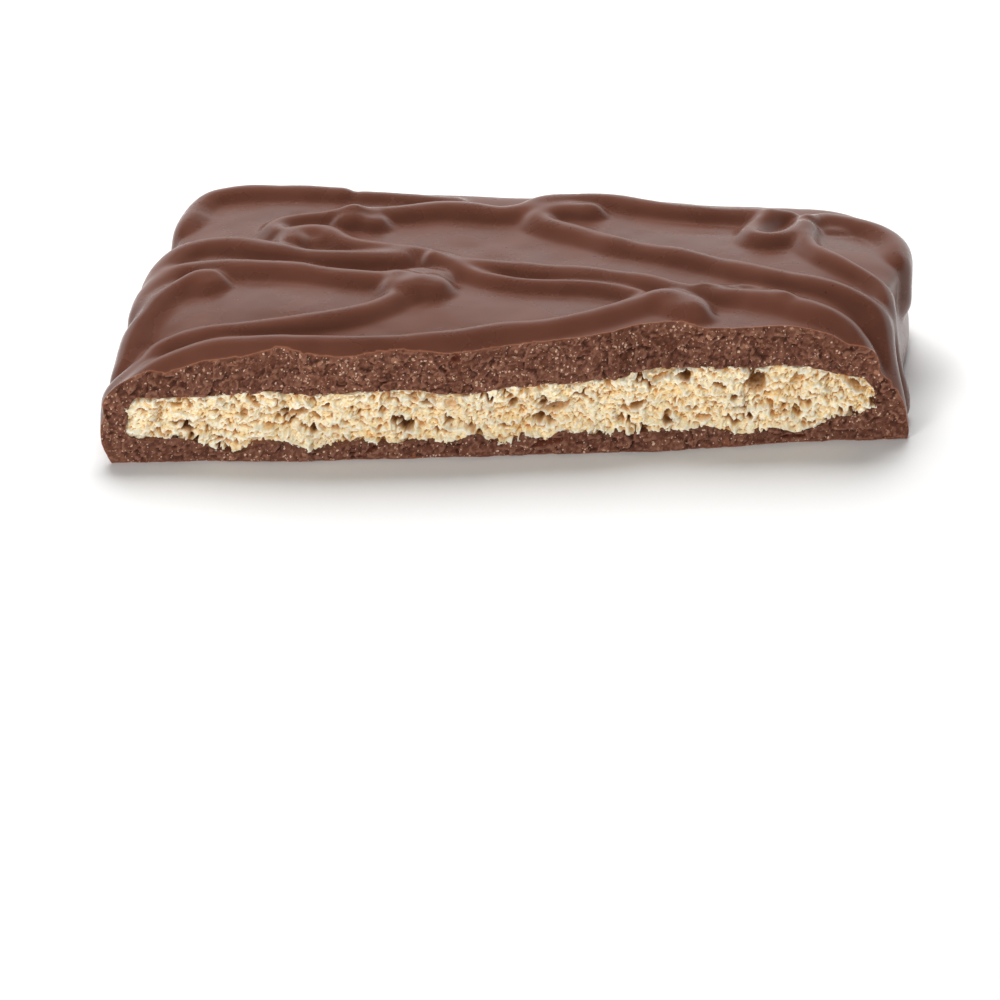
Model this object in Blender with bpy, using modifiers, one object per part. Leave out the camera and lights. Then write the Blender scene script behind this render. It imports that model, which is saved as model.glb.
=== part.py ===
"""Snapped piece of a chocolate-coated graham cracker, lying flat with the broken side towards -Y.

Two solids: the milk chocolate coat, with the strings of drizzled chocolate that have sunk into it, and
the graham biscuit that runs through it and shows at the break. Metres, +Z up, origin at the middle of
the base. Shapes are worked out in millimetres and scaled to metres as each mesh is written.
"""

import bmesh
import bpy
import numpy as np
from mathutils import Vector, noise
from mathutils.bvhtree import BVHTree
from mathutils.kdtree import KDTree

MM = 0.001
CENTRE = np.array([-0.34, -0.38, 0.0])  # middle of the finished piece, seen from above

# Coat, in millimetres. Y runs from the break at the front to the whole edge at the back.
COAT_LEFT, COAT_RIGHT = -33.2, 32.9
COAT_BACK = 20.6
COAT_FRONT = -31.0  # the blank runs past the break, which cuts it back
COAT_HEIGHT = 9.8
COAT_RISE = 0.5  # the biscuit is thicker on the right, and lifts the coat
SHOULDER = 2.9  # first cell of the cage, which sets how round an edge is
CELL = 4.6
BACK_LEFT_RADIUS, BACK_RIGHT_RADIUS = 4.5, 8.5
COAT_LEVELS = 3
COAT_KEPT = 0.135  # share of the faces that is kept where the relief needs them

# Biscuit.
WALL_LEFT, WALL_RIGHT, WALL_BACK = 0.9, 2.2, 2.4
BISCUIT_BOTTOM, BISCUIT_TOP = 1.55, 5.75
BISCUIT_EDGE = 1.9
BISCUIT_CELL = 5.2
BISCUIT_LEVELS = 2
BISCUIT_KEPT = 0.16
BISCUIT_SAGS = [  # (x, half width, depth)
    (-23.4, 2.2, 1.0), (-15.9, 2.4, 0.85), (-10.2, 1.5, 0.7), (-7.5, 1.0, 0.35), (-4.6, 1.6, 0.35),
    (-0.2, 2.2, 0.45), (2.7, 1.6, 0.6), (8.2, 1.6, 0.5), (14.4, 1.1, 0.25), (19.9, 1.9, 0.8),
    (25.0, 1.7, 0.6),
]
BISCUIT_DIPS = [(-15.5, 2.5, 0.3), (-4.0, 3.0, 0.55), (9.3, 1.0, 0.3), (31.0, 1.2, 0.4)]  # in its top
CLEARANCE = 0.32  # between biscuit and coat

# Break: a line across the piece, y = BREAK_MIDDLE + BREAK_SLOPE * x, that leans back and has a foot.
BREAK_MIDDLE, BREAK_SLOPE = -16.0, 0.165
BREAK_LEANS = [  # (x, how far the top of the break leans back there)
    (-33.0, 1.5), (-28.5, 1.4), (-26.0, 1.2), (-24.0, 0.6), (-21.5, 0.3), (-19.5, 0.5), (-17.0, -0.1),
    (-14.0, -0.6), (-11.5, -0.2), (-8.5, -0.2), (-5.0, -0.7), (-0.5, 0.1), (2.0, 0.5), (4.0, 0.3),
    (6.5, 0.5), (8.5, 0.8), (10.0, 1.8), (13.5, 2.1), (16.5, 0.5), (20.5, 1.0), (23.5, 1.0), (26.0, 0.1),
    (28.5, -0.6), (32.0, -0.7),
]
BREAK_CELL = 1.15

ROPE_STEP = 0.3
ROPE_FULLNESS, ROPE_FOOT = 2.4, 1.15  # how broad the strings are on top, and how softly they end at the foot
ROPE_CLIMB = 0.55  # how much of what lies below a string lifts it
BLOB_FULLNESS = 3.6
MELT_ROUNDS = 1

# Strings of chocolate in the order that they fell: (half width, height, route). A route point is (x, y)
# on the top, or (x, y, z) where the string runs down a side.
ROPES = {
    "back_rim": (
        1.7, 0.95,
        [(-32.8, 9.0, 1.0), (-33.0, 9.8, 6.0), (-32.8, 12.6, 8.8), (-32.1, 15.8), (-30.6, 17.8),
         (-27.6, 18.5), (-23.0, 18.3), (-18.5, 18.0)],
    ),
    "back_rim_end": (
        1.4, 0.6,
        [(-16.5, 18.0), (-14.0, 17.9), (-11.0, 17.6), (-8.0, 17.4)],
    ),
    "left_upper": (
        1.85, 1.05,
        [(-33.8, -3.5, 0.5), (-33.7, -2.6, 4.0), (-33.4, -0.6, 7.0), (-32.9, 1.5, 8.8), (-31.6, 4.0),
         (-29.6, 5.2), (-26.4, 4.8), (-23.1, 3.2), (-19.8, 1.7), (-16.8, 1.5), (-13.8, 1.8), (-11.5, 1.9)],
    ),
    "left_middle": (
        1.75, 1.0,
        [(-33.9, -9.5, 0.5), (-33.8, -8.5, 4.0), (-33.6, -6.5, 6.8), (-33.3, -4.1, 8.2), (-32.5, -1.8),
         (-31.0, -0.2), (-27.5, -0.6), (-23.9, -1.1), (-20.5, -1.5), (-17.5, -2.3), (-14.5, -3.0),
         (-11.5, -3.0)],
    ),
    "left_stub": (
        1.6, 1.15,
        [(-34.0, -17.5, 0.5), (-33.9, -16.0, 4.0), (-33.7, -13.5, 6.5), (-33.3, -10.5, 7.8),
         (-32.7, -8.0), (-31.7, -5.8), (-30.3, -4.1), (-28.8, -3.2), (-27.6, -3.1)],
    ),
    "front_diagonal": (
        1.7, 1.0,
        [(-33.5, -22.6, 0.0), (-33.7, -21.0, 3.0), (-33.6, -18.9, 6.0), (-32.8, -16.6), (-31.5, -15.2),
         (-29.4, -14.6), (-26.6, -14.4), (-23.7, -14.3), (-19.8, -13.6), (-16.1, -12.3), (-13.4, -10.5),
         (-11.6, -8.6), (-10.2, -6.6), (-9.0, -4.8)],
    ),
    "front_edge": (
        1.8, 1.05,
        [(-33.9, -26.0, 5.0), (-33.6, -22.6, 6.4), (-32.8, -19.9), (-31.0, -18.4), (-28.0, -17.6),
         (-24.5, -17.3), (-20.0, -17.4), (-15.0, -17.1), (-10.0, -16.5), (-5.3, -15.4), (-1.1, -14.0),
         (3.6, -12.8), (7.0, -11.3), (9.4, -9.5), (11.6, -7.7), (13.4, -7.5), (14.8, -8.8), (15.3, -10.2)],
    ),
    "back_edge": (
        1.85, 1.1,
        [(-17.0, 10.8), (-16.4, 12.4), (-14.0, 13.0), (-11.4, 13.8), (-8.6, 14.7), (-6.0, 14.6),
         (-3.6, 14.2), (-1.5, 15.0), (0.3, 16.8), (3.4, 17.8), (6.4, 17.9), (9.1, 16.9), (12.0, 16.3),
         (16.9, 15.9), (20.2, 15.2)],
    ),
    "long_diagonal": (
        1.8, 1.05,
        [(4.4, 15.2), (2.4, 15.4), (0.6, 14.6), (0.0, 13.0), (0.9, 11.6), (2.8, 10.2), (5.4, 8.2),
         (9.3, 5.4), (13.5, 3.5), (17.5, 1.2), (21.6, -1.0), (25.6, -2.7), (29.6, -4.4), (31.8, -5.9),
         (33.0, -7.4, 8.0), (33.6, -9.4, 4.8), (33.9, -10.4, 0.5)],
    ),
    "right_corner": (
        2.0, 1.05,
        [(33.9, 6.4, 6.2), (34.0, 8.4, 8.4), (32.8, 11.6), (30.8, 13.9), (28.4, 14.9),
         (26.2, 15.1), (24.8, 14.4)],
    ),
    "right_ring": (
        1.5, 1.05,
        [(22.6, 15.2), (21.2, 14.4), (20.0, 12.6), (19.3, 10.4), (19.8, 8.6), (21.2, 8.0), (22.5, 9.2),
         (23.4, 11.4), (24.1, 13.4)],
    ),
    "right_loop": (
        1.4, 1.0,
        [(24.3, 11.4), (24.1, 8.6), (24.7, 6.4), (26.0, 4.4), (27.5, 2.8), (29.6, 1.1), (31.4, -0.7),
         (32.7, -3.0, 8.8), (33.6, -5.2, 5.2), (34.0, -6.2, 0.5)],
    ),
    "left_hook": (
        1.35, 0.8,
        [(-16.6, 12.3), (-18.5, 11.9), (-21.1, 11.7), (-22.9, 10.5), (-23.5, 8.8), (-22.9, 7.4)],
    ),
    "centre_diagonal": (
        1.8, 1.05,
        [(-21.4, 5.2), (-21.4, 6.6), (-20.3, 7.7), (-18.7, 7.6), (-17.3, 6.0), (-16.0, 4.9), (-14.0, 4.3),
         (-12.0, 3.8), (-8.9, 3.0), (-5.6, 1.2), (-3.6, 0.8), (-0.6, 0.5), (1.6, 0.0), (5.7, -1.0),
         (9.8, -2.6), (11.8, -3.4), (13.9, -4.6), (15.9, -5.5), (18.8, -5.7), (21.8, -6.7), (25.7, -8.6),
         (28.6, -9.5), (31.2, -10.8), (32.7, -12.4), (33.5, -15.0, 6.0), (33.9, -16.6, 1.0)],
    ),
    "centre_strand": (
        1.35, 0.9,
        [(-8.4, 1.6), (-6.6, 0.2), (-4.4, -1.3), (-2.1, -2.6), (0.5, -3.2), (2.9, -3.4), (5.0, -3.7),
         (6.9, -4.3), (8.6, -5.1), (10.2, -6.2)],
    ),
    "right_strand": (
        1.1, 0.6,
        [(15.8, -4.8), (17.6, -4.0), (19.4, -3.4), (21.2, -4.4), (23.0, -6.8)],
    ),
}

# Thick ends where a string turned back on itself: (half width, height, route).
BLOBS = {
    "back_left": (2.0, 0.95, [(-15.9, 11.4), (-14.9, 10.9)]),
    "hook_end": (1.6, 0.6, [(-22.6, 7.6), (-22.0, 6.8)]),
    "diagonal_end": (1.6, 0.5, [(-20.4, 6.4), (-19.2, 6.2)]),
    "middle_back": (1.7, 0.8, [(-10.6, -2.4), (-9.2, -1.6), (-7.6, -2.0)]),
    "middle_front": (2.7, 1.3, [(-10.2, -4.6), (-8.2, -4.7)]),
    "right": (2.4, 1.05, [(12.9, -7.5), (14.6, -8.9)]),
    "corner_end": (2.4, 0.45, [(25.8, 13.9), (27.0, 14.2)]),
    "stub_end": (2.1, 1.1, [(-28.4, -3.5), (-27.6, -3.8)]),
}


def ramp(value, start, end):
    """Smooth step from 0 at start to 1 at end, which may lie below start."""
    share = np.clip((np.asarray(value, float) - start) / (end - start), 0.0, 1.0)
    return share * share * (3.0 - 2.0 * share)


def ripple(points, scale, seed):
    """Smooth noise, about -1 to 1, at each point: one ripple every few times scale."""
    shift = Vector((seed * 17.3, seed * 9.1, seed * 5.7))
    return np.array([noise.noise(Vector(p) / scale + shift) for p in points])


def mesh_points(mesh):
    """The mesh's points, in millimetres."""
    found = np.empty(len(mesh.vertices) * 3)
    mesh.vertices.foreach_get("co", found)
    return found.reshape(-1, 3) / MM


def set_mesh_points(mesh, points):
    mesh.vertices.foreach_set("co", (points * MM).ravel())
    mesh.update()


def mesh_normals(mesh):
    found = np.empty(len(mesh.vertices) * 3)
    mesh.vertex_normals.foreach_get("vector", found)
    return found.reshape(-1, 3)


def apply_modifiers(thing):
    """Turns what the modifiers make into the object's own mesh."""
    seen = thing.evaluated_get(bpy.context.evaluated_depsgraph_get())
    made = bpy.data.meshes.new_from_object(seen)
    old = thing.data
    thing.modifiers.clear()
    thing.data = made
    bpy.data.meshes.remove(old)


def stations(start, end, first, last, cell):
    """Where the cage is cut along one axis: a first and a last cell of their own, and even ones between."""
    count = max(1, round((end - last - start - first) / cell))
    return np.concatenate([[start], np.linspace(start + first, end - last, count + 1), [end]])


def cage(name, xs, ys, zs, open_below=False):
    """A box cut into cells at the stations xs, ys and zs."""
    work = bmesh.new()
    bmesh.ops.create_cube(work, size=1.0)
    spans = np.array([xs[-1] - xs[0], ys[-1] - ys[0], zs[-1] - zs[0]])
    middle = np.array([xs[-1] + xs[0], ys[-1] + ys[0], zs[-1] + zs[0]]) / 2
    for vert in work.verts:
        vert.co = Vector(np.array(vert.co) * spans + middle) * MM
    for axis, places in enumerate((xs, ys, zs)):
        normal = Vector(np.eye(3)[axis])
        for place in places[1:-1]:
            everything = work.verts[:] + work.edges[:] + work.faces[:]
            bmesh.ops.bisect_plane(work, geom=everything, plane_co=normal * place * MM, plane_no=normal)
    if open_below:
        floor = [face for face in work.faces if face.normal.z < -0.5]
        bmesh.ops.delete(work, geom=floor, context="FACES")
    mesh = bpy.data.meshes.new(name)
    work.to_mesh(mesh)
    work.free()
    thing = bpy.data.objects.new(name, mesh)
    bpy.context.scene.collection.objects.link(thing)
    return thing


def round_corner(points, corner, radius):
    """Bends the square corner of each ring of the cage, seen from above, to an arc."""
    inward = -np.sign(corner)
    centre = corner + inward * radius
    away = (points[:, :2] - centre) * -inward
    inside = (away > 0).all(axis=1)
    reach = away[inside].max(axis=1)
    length = np.linalg.norm(away[inside], axis=1)
    turned = away[inside] * (reach / length)[:, None]
    points[inside, :2] = centre - inward * turned


def smooth(thing, levels):
    subdivide = thing.modifiers.new("smooth", "SUBSURF")
    subdivide.levels = subdivide.render_levels = levels
    apply_modifiers(thing)


def coat_blank():
    """The coat before it broke and before the drizzle: a soft slab with round shoulders and a wide foot."""
    xs = stations(COAT_LEFT, COAT_RIGHT, SHOULDER, SHOULDER, CELL)
    ys = stations(COAT_FRONT, COAT_BACK, SHOULDER, SHOULDER, CELL)
    zs = np.array([0.0, 1.2, 3.6, 6.4, 8.4, COAT_HEIGHT])
    blank = cage("chocolate_coat", xs, ys, zs, open_below=True)
    points = mesh_points(blank.data)
    round_corner(points, np.array([COAT_LEFT, COAT_BACK]), BACK_LEFT_RADIUS)
    round_corner(points, np.array([COAT_RIGHT, COAT_BACK]), BACK_RIGHT_RADIUS)
    x, y, z = points.T
    high = z / COAT_HEIGHT
    rise = COAT_RISE * ramp(x, 0.0, 13.0)
    # The top sags towards the sides, most at the break, and a little at the back right.
    sag_left = 2.6 * (np.clip(-19.0 - x, 0.0, None) / 14.0) ** 2 * (0.35 + 0.65 * ramp(y, 12.0, -16.0))
    sag_right = 3.6 * (np.clip(x - 24.5, 0.0, None) / 8.0) ** 2 * (0.27 + 0.73 * ramp(y, -2.0, -11.0))
    sag_right += 0.35 * ramp(x, 30.5, 32.9) * ramp(y, -4.0, -11.0)
    sag_back = 0.7 * ramp(x, 2.0, 16.0) * ramp(y, 6.0, 19.0)
    sag_front = 0.6 * ramp(y, -8.0, -17.0) * ramp(x, 10.0, -4.0)
    sag_front += 1.2 * np.clip((-27.0 - x) / 6.0, 0.0, 1.0) * ramp(y, -8.0, -17.0)
    uneven = 0.2 * ripple(points, 11.0, 1)
    lifted = z + high * (rise - sag_left - sag_right - sag_back - sag_front + uneven)
    # The left side bulges and slants, the right side leans in over a foot, and the back has a foot.
    left, right = ramp(x, -26.0, -33.0), ramp(x, 24.0, 32.5)
    wobble = 0.3 * ripple(points, 7.0, 2)
    lean = 1.5 * high**2 * (0.4 + 0.6 * ramp(y, 8.0, -10.0)) + 0.4 * ramp(abs(y + 2.0), 9.0, 3.0)
    spread = (0.8 - 0.7 * ramp(y, -4.0, -11.0)) * ramp(z, 0.0, 1.2) * ramp(z, 6.0, 1.0)
    slant = 0.045 * np.maximum(y, -7.0) + 0.5 * ramp(y, 3.0, 9.0)
    x = x + left * (0.9 * ramp(z, 3.5, 0.0) + slant - wobble)
    x = x + right * (spread - lean + 0.03 * np.maximum(y, 0.0) + wobble)
    y = y + ramp(y, 14.0, 20.0) * (0.45 * ramp(z, 3.5, 0.0) + wobble)
    set_mesh_points(blank.data, np.column_stack([x, y, lifted]))
    smooth(blank, COAT_LEVELS)
    return blank


def close_below(thing):
    """Fills the open foot with one flat face."""
    work = bmesh.new()
    work.from_mesh(thing.data)
    rim = [edge for edge in work.edges if edge.is_boundary]
    for vert in {vert for edge in rim for vert in edge.verts}:
        vert.co.z = 0.0
    bmesh.ops.holes_fill(work, edges=rim)
    work.to_mesh(thing.data)
    work.free()


def curve_through(route):
    """Points every ROPE_STEP along a Catmull-Rom curve through the route."""
    knots = np.array([p if len(p) == 3 else (*p, COAT_HEIGHT) for p in route], float)
    padded = np.vstack([2 * knots[0] - knots[1], knots, 2 * knots[-1] - knots[-2]])
    made = []
    for a, b, c, d in zip(padded, padded[1:], padded[2:], padded[3:]):
        count = max(2, int(np.linalg.norm(c - b) / ROPE_STEP))
        for t in np.linspace(0.0, 1.0, count, endpoint=False):
            made.append(
                0.5 * (2 * b + (c - a) * t + (2 * a - 5 * b + 4 * c - d) * t**2
                       + (3 * b - a - 3 * c + d) * t**3)
            )
    made.append(knots[-1])
    return np.array(made)


def tree_of(points):
    tree = KDTree(len(points))
    for index, point in enumerate(points):
        tree.insert(point, index)
    tree.balance()
    return tree


def drizzle(blank):
    """How far each point of the blank stands out under the strings, which pile up where they cross."""
    points = mesh_points(blank.data)
    surface = BVHTree.FromPolygons(points.tolist(), [tuple(face.vertices) for face in blank.data.polygons])
    point_tree = tree_of(points)
    relief = np.zeros(len(points))
    strings = [(*string, ROPE_FULLNESS, ROPE_CLIMB) for string in ROPES.values()]
    strings += [(*blob, BLOB_FULLNESS, 0.0) for blob in BLOBS.values()]
    for number, (half_width, height, route, fullness, climb) in enumerate(strings):
        line = np.array([surface.find_nearest(p)[0] for p in curve_through(route)])
        below = relief[[point_tree.find(p)[1] for p in line]]
        spread = np.convolve(np.pad(below, 4, mode="edge"), np.ones(9) / 9, mode="valid")
        swell = 1.0 + 0.13 * ripple(line, 4.0, 3 + number)
        reach = half_width * 1.2
        near = ((points > line.min(0) - reach) & (points < line.max(0) + reach)).all(axis=1)
        line_tree = tree_of(line)
        for index in np.flatnonzero(near):
            _, closest, distance = line_tree.find(points[index])
            across = distance / (half_width * swell[closest])
            if across < 1.0:
                shape = (1.0 - across**fullness) ** ROPE_FOOT
                top = (height * swell[closest] + climb * spread[closest]) * shape
                relief[index] = (relief[index] ** 3 + top**3) ** (1 / 3)
    return melted(blank.data, relief)


def melted(mesh, relief):
    """The relief after the chocolate flowed a little: its creases are filled and its tops lowered."""
    ends = np.empty(len(mesh.edges) * 2, int)
    mesh.edges.foreach_get("vertices", ends)
    first, second = ends.reshape(-1, 2).T
    for _ in range(MELT_ROUNDS):
        total = np.bincount(first, relief[second], len(relief))
        total += np.bincount(second, relief[first], len(relief))
        relief = 0.5 * relief + 0.5 * total / np.maximum(np.bincount(ends, minlength=len(relief)), 1)
    return relief


def raise_drizzle(blank):
    relief = drizzle(blank)
    points, normals = mesh_points(blank.data), mesh_normals(blank.data)
    points = points + normals * relief[:, None]
    points[:, 2] = np.maximum(points[:, 2], 0.0)
    set_mesh_points(blank.data, points)


def break_line(x, z):
    """Where the break lies in y, before its crags."""
    lean = np.interp(x, *np.transpose(BREAK_LEANS)) * ramp(z, 5.0, 9.0)
    foot = (0.5 + 0.9 * ramp(x, -30.0, -15.0) - 1.1 * ramp(x, 14.0, 27.0)) * ramp(z, 3.4, 0.0)
    return BREAK_MIDDLE + BREAK_SLOPE * x + lean - foot


def break_cutter(name, crag, crag_scale, pit, pit_scale, seed):
    """A block in front of the piece whose back face is the broken surface, with crags and pits."""
    wide, tall = 84.0, 20.0
    bpy.ops.mesh.primitive_grid_add(
        x_subdivisions=round(wide / BREAK_CELL), y_subdivisions=round(tall / BREAK_CELL), size=1.0
    )
    cutter = bpy.context.object
    cutter.name = name
    points = mesh_points(cutter.data) * MM
    x, z = points[:, 0] * wide, points[:, 1] * tall + tall / 2 - 3.0
    flat = np.column_stack([x, np.zeros_like(x), z])
    y = break_line(x, z) + 0.45 * ripple(flat, 5.5, seed) + crag * ripple(flat, crag_scale, seed + 1)
    y = y + pit * np.maximum(0.0, ripple(flat, pit_scale, seed + 2) - 0.08)
    set_mesh_points(cutter.data, np.column_stack([x, y, z]))
    work = bmesh.new()
    work.from_mesh(cutter.data)
    made = bmesh.ops.extrude_face_region(work, geom=work.faces[:])
    for item in made["geom"]:
        if isinstance(item, bmesh.types.BMVert):
            item.co.y = -60.0 * MM
    bmesh.ops.recalc_face_normals(work, faces=work.faces[:])
    work.to_mesh(cutter.data)
    work.free()
    return cutter


def sunk(x, sags):
    """How deep the listed sags are at x: (x, half width, depth)."""
    return sum(deep * np.exp(-(((x - middle) / wide) ** 2)) for middle, wide, deep in sags)


def biscuit_blank():
    """The biscuit before it broke: a thin uneven slab, thicker on the right, with blunt edges."""
    left, right = COAT_LEFT + WALL_LEFT, COAT_RIGHT - WALL_RIGHT
    xs = stations(left, right, BISCUIT_EDGE, BISCUIT_EDGE, BISCUIT_CELL)
    ys = stations(COAT_FRONT + 2.0, COAT_BACK - WALL_BACK, BISCUIT_EDGE, BISCUIT_EDGE, BISCUIT_CELL)
    zs = np.linspace(BISCUIT_BOTTOM, BISCUIT_TOP, 4)
    blank = cage("graham_biscuit", xs, ys, zs)
    points = mesh_points(blank.data)
    round_corner(points, np.array([left, COAT_BACK - WALL_BACK]), BACK_LEFT_RADIUS)
    round_corner(points, np.array([right, COAT_BACK - WALL_BACK]), BACK_RIGHT_RADIUS)
    x, y, z = points.T
    # Only at the break does the biscuit lie close to the coat's left side.
    x = x + 1.4 * ramp(x, -26.0, -32.0) * ramp(y, -15.0, -6.0)
    high = (z - BISCUIT_BOTTOM) / (BISCUIT_TOP - BISCUIT_BOTTOM)
    top = 1.05 * ramp(x, 3.0, 13.0) - 1.1 * ramp(x, 24.0, 30.0) + 0.15 * ripple(points, 6.0, 31)
    bottom = 0.25 + 0.6 * ramp(x, 25.0, 31.0) + 0.15 * ripple(points, 4.0, 32)
    z = z + high * top + (1.0 - high) * bottom
    set_mesh_points(blank.data, np.column_stack([x, y, z]))
    smooth(blank, BISCUIT_LEVELS)
    x, y, z = mesh_points(blank.data).T
    near_break, low = ramp(y, 0.0, -10.0), ramp(z, BISCUIT_TOP, BISCUIT_BOTTOM)
    z = z - near_break * (low * sunk(x, BISCUIT_SAGS) + (1.0 - low) * sunk(x, BISCUIT_DIPS))
    set_mesh_points(blank.data, np.column_stack([x, y, z]))
    thin_out(blank, BISCUIT_KEPT)
    return blank


def cut(thing, cutter):
    """Takes cutter, which is only a guide, out of thing."""
    cutter.hide_render = True
    cutter.display_type = "WIRE"
    boolean = thing.modifiers.new(cutter.name, "BOOLEAN")
    boolean.operation = "DIFFERENCE"
    boolean.object = cutter


def thin_out(thing, share):
    """Keeps the given share of the faces, where the shape needs them most."""
    decimate = thing.modifiers.new("thin_out", "DECIMATE")
    decimate.ratio = share
    apply_modifiers(thing)


def material(name, colour, roughness):
    made = bpy.data.materials.new(name)
    made.use_nodes = True
    shader = made.node_tree.nodes["Principled BSDF"]
    shader.inputs["Base Color"].default_value = (*colour, 1.0)
    shader.inputs["Roughness"].default_value = roughness
    shader.inputs["Metallic"].default_value = 0.0
    return made


def finish(thing, made):
    """One material, and smooth shading except over real edges."""
    thing.data.materials.clear()
    thing.data.materials.append(made)
    thing.data.shade_smooth()
    thing.data.set_sharp_from_angle(angle=np.radians(38.0))


def collect(name, things):
    """A collection that holds just these objects."""
    collection = bpy.data.collections.new(name)
    bpy.context.scene.collection.children.link(collection)
    for thing in things:
        for user in thing.users_collection:
            user.objects.unlink(thing)
        collection.objects.link(thing)


def main():
    for thing in list(bpy.data.objects):
        bpy.data.objects.remove(thing)

    coat = coat_blank()
    raise_drizzle(coat)
    thin_out(coat, COAT_KEPT)
    close_below(coat)
    biscuit = biscuit_blank()
    finish(coat, material("milk_chocolate", (0.15, 0.062, 0.036), 0.32))
    finish(biscuit, material("graham_crumb", (0.72, 0.55, 0.30), 0.85))

    pocket = bpy.data.objects.new("biscuit_pocket", biscuit.data.copy())
    bpy.context.scene.collection.objects.link(pocket)
    set_mesh_points(pocket.data, mesh_points(pocket.data) + mesh_normals(pocket.data) * CLEARANCE)
    coat_break = break_cutter("coat_break", crag=0.22, crag_scale=2.1, pit=0.0, pit_scale=2.0, seed=41)
    biscuit_break = break_cutter("biscuit_break", crag=0.3, crag_scale=1.7, pit=2.6, pit_scale=2.4, seed=51)
    cut(coat, coat_break)
    cut(coat, pocket)
    cut(biscuit, biscuit_break)
    for thing in (coat, biscuit, coat_break, pocket, biscuit_break):
        set_mesh_points(thing.data, mesh_points(thing.data) - CENTRE)
    collect("chocolate_graham_cracker", [coat, biscuit])
    collect("cutters", [coat_break, pocket, biscuit_break])


main()
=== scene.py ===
"""Looks of a snapped piece of chocolate-coated graham cracker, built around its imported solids.

The coat and the biscuit are built again at a fine scale over the same driving sizes as the solids: the
drizzled strings on the coat, the grain of the snapped chocolate, and the pores of the biscuit. Sizes are
in millimetres and become metres as each mesh is written. Y runs from the break to the whole back edge.
"""

import itertools
from contextlib import contextmanager

import bmesh
import bpy
import numpy as np
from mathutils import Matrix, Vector, noise
from mathutils.bvhtree import BVHTree
from mathutils.kdtree import KDTree


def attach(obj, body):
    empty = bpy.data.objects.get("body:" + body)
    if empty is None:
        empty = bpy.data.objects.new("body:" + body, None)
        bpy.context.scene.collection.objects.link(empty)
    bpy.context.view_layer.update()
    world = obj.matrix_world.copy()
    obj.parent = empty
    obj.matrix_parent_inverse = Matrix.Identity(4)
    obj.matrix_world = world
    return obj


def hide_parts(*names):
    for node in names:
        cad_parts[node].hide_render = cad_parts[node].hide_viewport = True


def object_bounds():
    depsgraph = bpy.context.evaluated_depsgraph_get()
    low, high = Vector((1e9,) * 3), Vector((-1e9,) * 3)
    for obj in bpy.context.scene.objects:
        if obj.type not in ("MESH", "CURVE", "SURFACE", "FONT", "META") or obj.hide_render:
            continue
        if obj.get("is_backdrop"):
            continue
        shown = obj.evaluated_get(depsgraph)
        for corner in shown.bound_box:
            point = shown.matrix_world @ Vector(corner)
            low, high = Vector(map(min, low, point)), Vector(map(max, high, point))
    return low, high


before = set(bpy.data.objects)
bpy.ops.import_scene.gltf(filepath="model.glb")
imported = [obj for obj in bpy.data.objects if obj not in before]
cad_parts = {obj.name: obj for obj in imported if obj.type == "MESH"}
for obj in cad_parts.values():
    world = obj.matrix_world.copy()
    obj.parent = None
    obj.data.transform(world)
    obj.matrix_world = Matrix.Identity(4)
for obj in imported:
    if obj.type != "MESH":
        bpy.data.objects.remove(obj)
cad_low, cad_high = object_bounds()

MM = 0.001
CENTRE = np.array([-0.34, -0.38, 0.0])  # middle of the finished piece, seen from above

# Coat.
COAT_LEFT, COAT_RIGHT = -33.2, 32.9
COAT_BACK, COAT_FRONT = 20.6, -31.0
COAT_HEIGHT = 9.8
COAT_RISE = 0.5
COAT_LAYERS = [0.0, 1.2, 3.6, 6.4, 8.4, COAT_HEIGHT]
SAG_LEFT, SAG_LEFT_CORNER = 2.6, 1.2
SAG_RIGHT, SAG_RIGHT_EDGE = 3.6, 0.35
SAG_BACK, SAG_FRONT = 0.7, 0.6
COAT_UNEVEN = (0.2, 11.0, 1)  # of its top: (height, length, seed)
COAT_WOBBLE = (0.3, 7.0, 2)  # of its sides
COAT_WAVES = [(0.05, 3.1, 11), (0.02, 1.3, 12)]  # of its skin
SHOULDER = 2.9
CELL = 2.1
BACK_LEFT_RADIUS, BACK_RIGHT_RADIUS = 4.5, 8.5
COAT_LEVELS = 3
SHARP_ANGLE = 70.0

# Biscuit.
WALL_LEFT, WALL_RIGHT, WALL_BACK = 0.9, 2.2, 2.4
BISCUIT_BOTTOM, BISCUIT_TOP = 1.55, 5.75
BISCUIT_LAYERS = 4
BISCUIT_EDGE = 1.9
BISCUIT_CELL = 5.2
BISCUIT_LEVELS = 2
BISCUIT_LEFT, BISCUIT_RIGHT = COAT_LEFT + WALL_LEFT, COAT_RIGHT - WALL_RIGHT
BISCUIT_FRONT, BISCUIT_BACK = COAT_FRONT + 2.0, COAT_BACK - WALL_BACK
BISCUIT_ROUND = 1.1  # radius of its long edges near the break
BISCUIT_SAGS = [  # (x, half width, depth)
    (-23.4, 2.2, 1.0), (-15.9, 2.4, 0.85), (-10.2, 1.5, 0.7), (-7.5, 1.0, 0.35), (-4.6, 1.6, 0.35),
    (-0.2, 2.2, 0.45), (2.7, 1.6, 0.6), (8.2, 1.6, 0.5), (14.4, 1.1, 0.25), (19.9, 1.9, 0.8),
    (25.0, 1.7, 0.6),
]
BISCUIT_DIPS = [(-15.5, 2.5, 0.3), (-4.0, 3.0, 0.55), (9.3, 1.0, 0.3), (31.0, 1.2, 0.4)]  # in its top
BISCUIT_SKIN = [  # its unevenness: (height, more low down, more at the ends, size, seed)
    (0.12, 0.2, 0.0, 1.5, 31), (0.07, 0.03, 0.0, 0.55, 32), (0.06, 0.0, 0.0, 0.28, 42),
    (0.0, 0.0, 0.4, 1.0, 43),
]

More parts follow.
